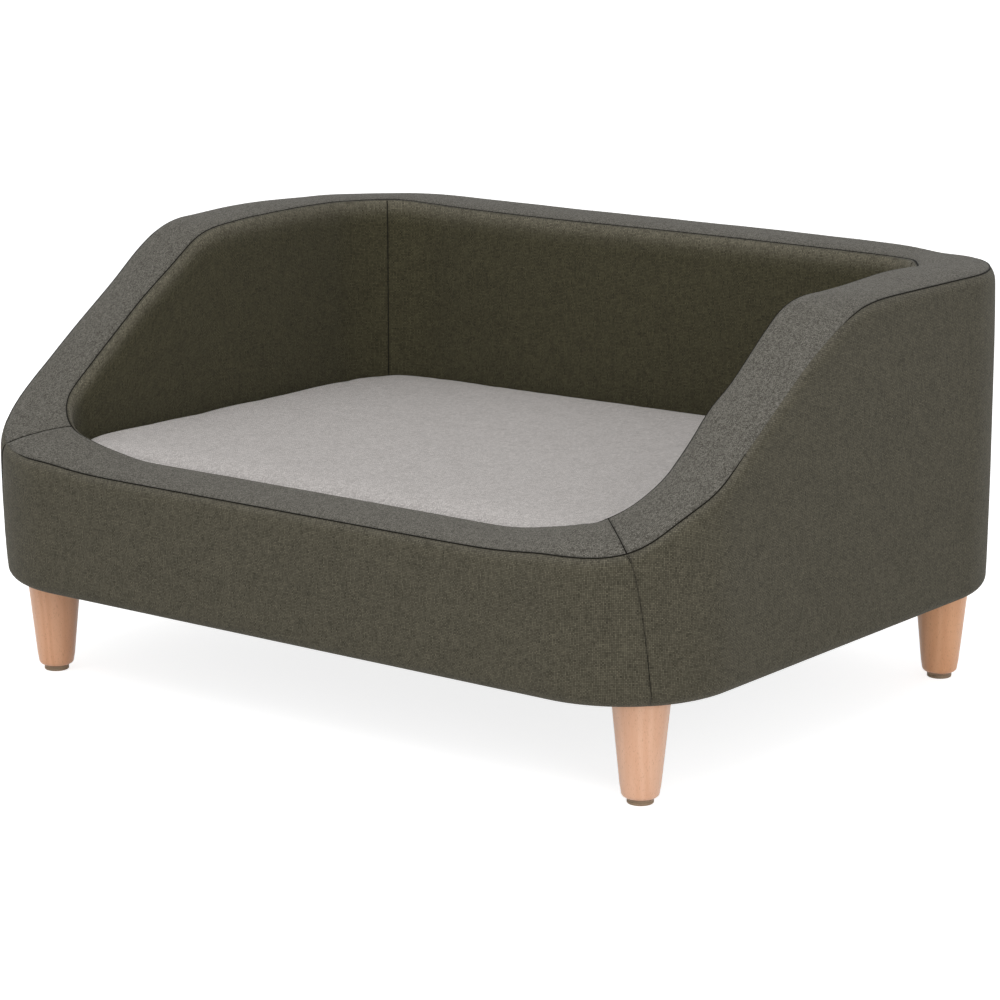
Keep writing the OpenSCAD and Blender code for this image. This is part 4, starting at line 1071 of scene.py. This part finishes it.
class OBJECT_OT_sofa_materials(bpy.types.Operator):
    """Make the shared node groups and the finishes"""

    bl_idname = "object.sofa_materials"
    bl_label = "Finishes"

    def execute(self, context):
        cloth, wood = context.scene.sofa_cloth, context.scene.sofa_wood
        make_weave()
        make_grain()
        make_speckle()
        # Painted light under the top seams: a gain of 1.3 on the outer cloth and 2.5 on the inner, whose
        # colours are painted shade of the well
        woven_material("Outer cloth", cloth.outer_dark, cloth.outer_light, cloth.pitch, cloth.slub, 2.0,
                       painted_light_gain=1.3)
        woven_material("Rim cloth", cloth.rim_dark, cloth.rim_light, cloth.pitch * 0.75, cloth.slub * 0.35,
                       3.2)
        woven_material("Inner cloth", cloth.shaded_inner_dark, cloth.shaded_inner_light, cloth.pitch, cloth.slub, 2.0,
                       painted_light_gain=2.5)
        woven_material("Mattress cloth", cloth.mattress_dark, cloth.mattress_light, cloth.mattress_pitch,
                       cloth.slub, 3.6)
        woven_material("Zip tape", paint("5f5c56"), paint("86837c"), 0.0007, 0.004, 2.0)
        legs = (("front_left", 0.3, (0.95, 0.88, 0.84)), ("front_right", 1.7, (1.0, 1.03, 1.12)),
                ("back_left", 2.9, (1.0, 0.98, 0.98)), ("back_right", 4.1, (1.04, 0.94, 0.82)))
        for leg, spot, tint in legs:
            pale, warm = [[min(1.0, a * b) for a, b in zip(tone, tint)] for tone in (wood.pale, wood.warm)]
            wood_material("Beech " + leg, pale, warm, offset=(spot, spot * 0.7, 0))
        wood_material("Plywood", paint("d9bd8e"), paint("c7a473"), coat=0.0)
        speckled_material("Glide plastic", paint("8a7864"), wood.glide, grain=900, rough=0.55)
        # Painted shade: the seam threads are near-black so that they stand in for the shadow in the seams'
        # grooves
        speckled_material("Seam thread", paint("12110d"), paint("1d1b15"),
                          grain=2500, rough=0.8, specular=0.1)
        speckled_material("Mattress thread", paint("77726f"), paint("8a8582"),
                          grain=2500, rough=0.8, specular=0.1)
        speckled_material("Padding foam", paint("e6dcb4"), paint("f2ebcf"),
                          grain=1600, rough=0.95, relief=0.0004)
        speckled_material("Zinc steel", paint("9c9c98"), paint("c8c8c4"),
                          grain=600, rough=0.38, metallic=1.0)
        speckled_material("Non-woven black", paint("0e0e0e"), paint("1c1c1c"),
                          grain=1400, rough=0.85, relief=0.0003)
        speckled_material("Zip coil", paint("161616"), paint("222222"), grain=900, rough=0.4)
        speckled_material("Zip nickel", paint("6f6e6a"), paint("8f8e8a"),
                          grain=500, rough=0.28, metallic=1.0)
        return {"FINISHED"}


class OBJECT_OT_sofa_covers(bpy.types.Operator):
    """Lay the woven covers and the rim over the padded walls"""

    bl_idname = "object.sofa_covers"
    bl_label = "Woven covers"

    def execute(self, context):
        walls = Walls(context.scene.sofa_shape)
        for seed, (name, span) in enumerate(walls.spans.items()):
            piece = outer_panel(walls, "outer_cloth_" + name, *span, seed)
            finish_cloth(piece, "Outer cloth", "outer_cloth", name + "_outer_cover")
            piece = inner_panel(walls, "inner_cloth_" + name, *span, seed + 10)
            finish_cloth(piece, "Inner cloth", "inner_cloth", name + "_inner_cover")
        piece = rim_panel(walls, "rim_cloth_front", -walls.mitre, walls.mitre, seed=20)
        finish_cloth(piece, "Rim cloth", "rim_cloth", "front_rim_band")
        piece = rim_panel(walls, "rim_cloth_arms_and_back", walls.mitre, 2 * walls.half - walls.mitre,
                          seed=21)
        finish_cloth(piece, "Rim cloth", "rim_cloth", "arm_and_back_rim_band")
        return {"FINISHED"}


class OBJECT_OT_sofa_linings(bpy.types.Operator):
    """Fill the rim with foam and lay the deck cloth and the dust cover"""

    bl_idname = "object.sofa_linings"
    bl_label = "Rim foam and linings"

    def execute(self, context):
        walls = Walls(context.scene.sofa_shape)
        full = 2 * walls.half
        for name, span in walls.spans.items():
            piece = rim_foam(walls, "rim_padding_" + name, *span)
            finish_piece(piece, "Padding foam", "foam", name + "_rim_foam")
        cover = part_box("dust_cover")[1]
        inset = walls.half_width - cover.x
        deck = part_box("deck_cloth")[1].z - 0.2 * MM
        legs = [sum(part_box(name + "_leg"), Vector()) / 2 for name in LEGS]
        leg_reach, leg_fade = 0.035, 0.05

        def round_edge(share):
            place = walls.place(share * full)
            return place["outer"].to_3d() - place["normal"] * inset

        def sag(point, r):
            clear = min((point - leg).to_2d().length for leg in legs)
            free = max(0.0, min(1.0, (clear - leg_reach) / leg_fade)) * (1 - r ** 6)
            return cover.z - free * (1.2 * MM + 0.8 * MM * hollows(point, size=0.05))

        def well_edge(share):
            place = walls.place(share * full)
            return place["inner"].to_3d() + place["inward"] * 0.4 * MM

        def settle(point, r):
            return deck + 0.15 * MM * hollows(point, size=0.04)

        piece = plan_sheet("dust_cover_cloth", round_edge, sag, thickness=0.6 * MM)
        finish_cloth(piece, "Non-woven black", "black_cloth", "dust_cover")
        piece = plan_sheet("deck_lining_cloth", well_edge, settle, thickness=1.1 * MM)
        finish_cloth(piece, "Non-woven black", "black_cloth", "deck_cloth")
        return {"FINISHED"}


class OBJECT_OT_sofa_seams(bpy.types.Operator):
    """Sew the seam threads between the covers, near-black and thick as painted shade for the shadow in the
    seams' grooves
    """

    bl_idname = "object.sofa_seams"
    bl_label = "Seam shade threads"

    def execute(self, context):
        shape = context.scene.sofa_shape
        walls = Walls(shape)
        sunk, under_rim, step = 0.2 * MM, 2 * MM, 3 * MM

        def line(kind, start, end):
            count = round((end - start) / step)
            places = [walls.place(start + (end - start) * i / count) for i in range(count + 1)]
            deep = shape.pinch + (0.0 if kind == "outer" else sunk)
            return [place[kind + "_seam"] + place[kind + "_draw"] * deep for place in places]

        def mitre(s):
            place = walls.place(s)
            points = []
            for share in (0.03 + 0.94 * i / 24 for i in range(25)):
                lift = rim_rise(shape, share) * (1 - drawn_in(share * shape.wall))
                lift *= 1 - drawn_in((1 - share) * shape.wall)
                points.append(place["outer_seam"].lerp(place["inner_seam"], share)
                              + place["up"] * (lift - shape.mitre_pinch))
            return points

        def outer_upright(s):
            low = shape.hem_low + shape.hem_radius
            points = []
            for depth in (1 - i / 40 for i in range(41)):
                place = walls.place(walls.slant(s, depth) if abs(s) < walls.side else s)
                swell = outer_swell(shape, depth, depth * (place["high"] - low))
                swell += place["fuller"] * (1 - depth) - shape.corner_pinch - sunk / 2
                point = place["outer"].to_3d() + place["normal"] * swell
                point.z = low + (place["high"] - low - under_rim) * (1 - depth)
                points.append(point)
            return points

        def inner_upright(s):
            place = walls.place(s)
            low, high = 0.11, place["inner_high"] - under_rim
            points = []
            for z in (low + (high - low) * i / 60 for i in range(61)):
                swell = inner_swell(shape, place, place["inner_high"] - z) - shape.corner_pinch
                point = place["inner"].to_3d() + place["inward"] * swell
                point.z = z
                points.append(point)
            return points

        m, end = walls.mitre, 2 * walls.half - walls.mitre
        lines = {"outer_front": (line("outer", -m, m), 0.55),
                 "outer_arms_and_back": (line("outer", m, end), 0.55),
                 "inner_front": (line("inner", -m, m), 0.35),
                 "inner_arms_and_back": (line("inner", m, end), 0.55)}
        for side, sign, radius in (("right", 1, 0.45), ("left", -1, 0.6)):
            lines[side + "_mitre"] = (mitre(sign * m), radius)
            lines["front_" + side + "_corner"] = (outer_upright(sign * m), 0.25)
            lines["back_" + side + "_corner"] = (outer_upright(sign * walls.back_seam), 0.25)
            lines["front_" + side + "_well"] = (inner_upright(sign * m), 0.35)
            lines["back_" + side + "_well"] = (inner_upright(sign * walls.back_seam), 0.4)
        # Real seams with threads, made near-black and thick as painted shade for the grooves' shadow
        for name, (points, radius) in lines.items():
            piece = thread_tube("seam_shade_thread_" + name, points, radius * MM)
            finish_piece(piece, "Seam thread", "outer_cloth")
        return {"FINISHED"}


class OBJECT_OT_sofa_mattress(bpy.types.Operator):
    """Make the loose mattress that fills the well"""

    bl_idname = "object.sofa_mattress"
    bl_label = "Mattress"

    def execute(self, context):
        props = context.scene.sofa_mattress
        walls = Walls(context.scene.sofa_shape)
        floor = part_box("mattress_bottom_panel")[0].z
        panel_low, panel_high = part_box("mattress_top_panel")
        half_x, half_y, seam_high = panel_high.x, panel_high.y, panel_low.z
        seam_low, top = floor + 1.5 * MM, seam_high + 12 * MM
        front_r, back_r = walls.well_r - 1 * MM, walls.shape.well_corner - 1 * MM
        corners = ((1, -1, front_r, -90), (1, 1, back_r, 0), (-1, 1, back_r, 90), (-1, -1, front_r, 180))

        def outline(inset, z):
            points = []
            for cx, cy, r, start in corners:
                for angle in (math.radians(start + 90 * i / 8) for i in range(9)):
                    points.append(Vector((cx * (half_x - r) + (r - inset) * math.cos(angle),
                                          cy * (half_y - r) + (r - inset) * math.sin(angle), z)))
            return points

        roll, slack = props.edge_roll, 0.4 * MM
        levels = [seam_low + (seam_high - seam_low) * i / 6 for i in range(6)]
        levels = [seam_low - 1.3 * MM] + levels + [seam_high]
        rings = [outline(slack, z) for z in levels]
        rings += [outline(roll * (1 - math.cos(a)) + slack, top - roll + roll * math.sin(a))
                  for a in (math.radians(degrees) for degrees in (0, 30, 60, 90))]
        piece = lofted("mattress_cover", rings)
        remesh_evenly(piece, props.voxel)
        shape_mattress(piece, props, half_x, half_y, seam_low, seam_high, top)
        puff(piece, pressure=4.0, cap=2.0 * MM, floor=floor)
        seam_mattress(piece, seam_low, seam_high, floor)
        unwrap_mattress(piece, seam_low, seam_high)
        finer = piece.modifiers.new("Finer", "SUBSURF")
        finer.levels = finer.render_levels = 1
        surface = piece.evaluated_get(bpy.context.evaluated_depsgraph_get())
        step, proud = 4 * MM, 0.1 * MM
        for name, level in (("top", seam_high), ("bottom", seam_low)):
            points = outline(0, level)
            ring = []
            for a, b in zip(points, points[1:] + points[:1]):
                count = max(1, round((b - a).length / step))
                for i in range(count):
                    _, spot, facing, _ = surface.closest_point_on_mesh(a.lerp(b, i / count))
                    height = level if name == "top" else spot.z
                    ring.append(Vector((spot.x, spot.y, height)) + facing * proud)
            thread = thread_tube("mattress_seam_" + name, ring + ring[:1], radius=0.45 * MM)
            finish_piece(thread, "Mattress thread", "mattress_cloth", body="mattress")
        zip_tape(-1)
        zip_tape(1)
        zip_teeth()
        finish_piece(piece, "Mattress cloth", "mattress_cloth", "mattress_top_panel", "mattress_boxing",
                     "mattress_bottom_panel", body="mattress")
        return {"FINISHED"}


class OBJECT_OT_sofa_legs(bpy.types.Operator):
    """Turn the beech legs and their glides"""

    bl_idname = "object.sofa_legs"
    bl_label = "Legs and glides"

    def execute(self, context):
        foot_r, round_r, edge = 15 * MM, 4 * MM, 1.2 * MM

        def rounded(r, radius, low, steps):
            """Profile of a rounded lower edge from the flat end to the side."""
            angles = [math.pi / 2 * i / steps for i in range(steps + 1)]
            return [(r - radius + radius * math.sin(a), low + radius - radius * math.cos(a)) for a in angles]

        for name in LEGS:
            low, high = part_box(name + "_leg")
            centre = Vector(((low.x + high.x) / 2, (low.y + high.y) / 2, 0))
            top_r = (high.x - low.x) / 2
            taper = (top_r - foot_r) / (high.z - low.z)
            rises = [round_r + (high.z - low.z - 2 * round_r) * i / 12 for i in range(1, 13)]
            profile = [(0, low.z)] + rounded(foot_r, round_r, low.z, steps=8)
            profile += [(foot_r + taper * rise, low.z + rise) for rise in rises]
            profile += [(top_r - 0.5 * MM, high.z - 0.8 * MM), (top_r - 0.9 * MM, high.z - 0.15 * MM),
                        (top_r - 1.6 * MM, high.z), (0, high.z)]
            leg = turned("beech_leg_" + name, profile, centre, steps=96)
            finish_piece(leg, "Beech " + name, "beech", name + "_leg")
            low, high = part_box(name + "_glide")
            r, top = (high.x - low.x) / 2, high.z
            profile = [(0, 2.6 * MM), (3.0 * MM, 2.6 * MM), (3.1 * MM, 0.4 * MM), (3.6 * MM, 0.0)]
            profile += rounded(r, edge, 0, steps=6)
            profile += [(r, top * 0.45), (r - 0.5 * MM, top * 0.5), (r - 0.5 * MM, top * 0.58),
                        (r, top * 0.63), (r, top - 0.8 * MM), (r - 0.3 * MM, top - 0.25 * MM),
                        (r - 0.9 * MM, top), (0, top)]
            glide = turned("glide_" + name, profile, centre, steps=64)
            finish_piece(glide, "Glide plastic", "glide", name + "_glide")
        return {"FINISHED"}


class OBJECT_OT_sofa_inside(bpy.types.Operator):
    """Give the boards, foams and fixings inside the walls their finishes"""

    bl_idname = "object.sofa_inside"
    bl_label = "Boards, foams and fixings"

    def execute(self, context):
        fixings = ("frame_screws", "hanger_bolts", "tee_nuts", "glide_nails", "hem_staples")
        for node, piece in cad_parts.items():
            if node.endswith("_foam"):
                finish = "Padding foam"
            elif node.endswith(("_board", "_former")):
                finish = "Plywood"
            elif node == "frame_dowels":
                finish = "Beech front_left"
            elif node in fixings:
                finish = "Zinc steel"
            elif node.startswith("zip"):
                finish = "Zip nickel"
            else:
                continue
            piece.data.materials.clear()
            piece.data.materials.append(bpy.data.materials[finish])
        return {"FINISHED"}


class OBJECT_OT_sofa_stage(bpy.types.Operator):
    """Set the floor, the lamps and the camera"""

    bl_idname = "object.sofa_stage"
    bl_label = "Stage"

    def execute(self, context):
        scene = context.scene
        stage = scene.sofa_stage
        white = (1, 1, 1, 1)
        bm = bmesh.new()
        bmesh.ops.create_grid(bm, x_segments=2, y_segments=2, size=12.0)
        floor = mesh_piece("studio_floor", bm, smooth=False)
        w, shader = start_material("Pale floor", {"Base Color": (0.8, 0.8, 0.8, 1), "Roughness": 0.9,
                                                  "Specular IOR Level": 0.0})
        glow = w.add("ShaderNodeEmission", {"Color": white, "Strength": w.times(w.seen(), 0.8)})
        both = w.add("ShaderNodeAddShader", {0: shader.outputs[0], 1: glow.outputs[0]})
        output = next(node for node in w.tree.nodes if node.type == "OUTPUT_MATERIAL")
        w.feed(output.inputs["Surface"], both.outputs[0])
        floor.data.materials.append(bpy.data.materials["Pale floor"])
        world = bpy.data.worlds.new("Studio")
        world.use_nodes = True
        world.node_tree.nodes.clear()
        w = Wiring(world.node_tree)
        strength = w.between(w.seen(), stage.ambient, 1.0)
        sky = w.add("ShaderNodeBackground", {"Color": white, "Strength": strength})
        w.add("ShaderNodeOutputWorld", {"Surface": sky.outputs[0]})
        scene.world = world

        def lamp(name, power, size, place):
            data = bpy.data.lights.new(name, "AREA")
            data.energy = power
            data.shape = "RECTANGLE"
            data.size, data.size_y = size
            lamp_object = bpy.data.objects.new(name, data)
            scene.collection.objects.link(lamp_object)
            lamp_object.location = place
            target = Vector((0, 0, 0.2))
            lamp_object.rotation_euler = (target - Vector(place)).to_track_quat("-Z", "Y").to_euler()

        lamp("overhead_softbox", stage.key, (2.2, 2.0), (0.3, -1.2, 2.3))
        lamp("front_fill", stage.fill, (1.8, 1.2), (2.2, -1.8, 0.9))
        data = bpy.data.cameras.new("camera")
        data.lens = stage.lens
        data.sensor_width = 36.0
        camera = bpy.data.objects.new("camera", data)
        scene.collection.objects.link(camera)
        camera.location = stage.place
        camera.rotation_euler = (math.pi / 2 - stage.pitch, 0.0, stage.yaw)
        scene.camera = camera
        scene.view_settings.view_transform = "Standard"
        return {"FINISHED"}


class VIEW3D_PT_sofa(bpy.types.Panel):
    """Panel that lists the sofa's steps"""

    bl_idname = "VIEW3D_PT_sofa"
    bl_label = "Pet sofa"
    bl_space_type = "VIEW_3D"
    bl_region_type = "UI"
    bl_category = "Pet sofa"

    def draw(self, context):
        for step in STEPS:
            self.layout.operator(step.bl_idname)
        for group in ("sofa_shape", "sofa_cloth", "sofa_mattress", "sofa_wood", "sofa_stage"):
            box = self.layout.box()
            values = getattr(context.scene, group)
            for key in values.__annotations__:
                box.prop(values, key)


STEPS = (OBJECT_OT_sofa_materials, OBJECT_OT_sofa_stage, OBJECT_OT_sofa_inside, OBJECT_OT_sofa_linings,
         OBJECT_OT_sofa_covers, OBJECT_OT_sofa_seams, OBJECT_OT_sofa_mattress, OBJECT_OT_sofa_legs)
GROUPS = {"sofa_shape": SofaShape, "sofa_cloth": SofaCloth, "sofa_mattress": SofaMattress,
          "sofa_wood": SofaWood, "sofa_stage": SofaStage}


def register():
    for group in GROUPS.values():
        bpy.utils.register_class(group)
    for step in STEPS:
        bpy.utils.register_class(step)
    bpy.utils.register_class(VIEW3D_PT_sofa)
    for name, group in GROUPS.items():
        setattr(bpy.types.Scene, name, PointerProperty(type=group))


def unregister():
    for name in GROUPS:
        delattr(bpy.types.Scene, name)
    bpy.utils.unregister_class(VIEW3D_PT_sofa)
    for step in reversed(STEPS):
        bpy.utils.unregister_class(step)
    for group in reversed(list(GROUPS.values())):
        bpy.utils.unregister_class(group)


def main():
    register()
    bpy.ops.object.sofa_materials()
    bpy.ops.object.sofa_stage()
    bpy.ops.object.sofa_inside()
    bpy.ops.object.sofa_linings()
    bpy.ops.object.sofa_covers()
    bpy.ops.object.sofa_seams()
    bpy.ops.object.sofa_mattress()
    bpy.ops.object.sofa_legs()


if __name__ == "__main__":
    main()
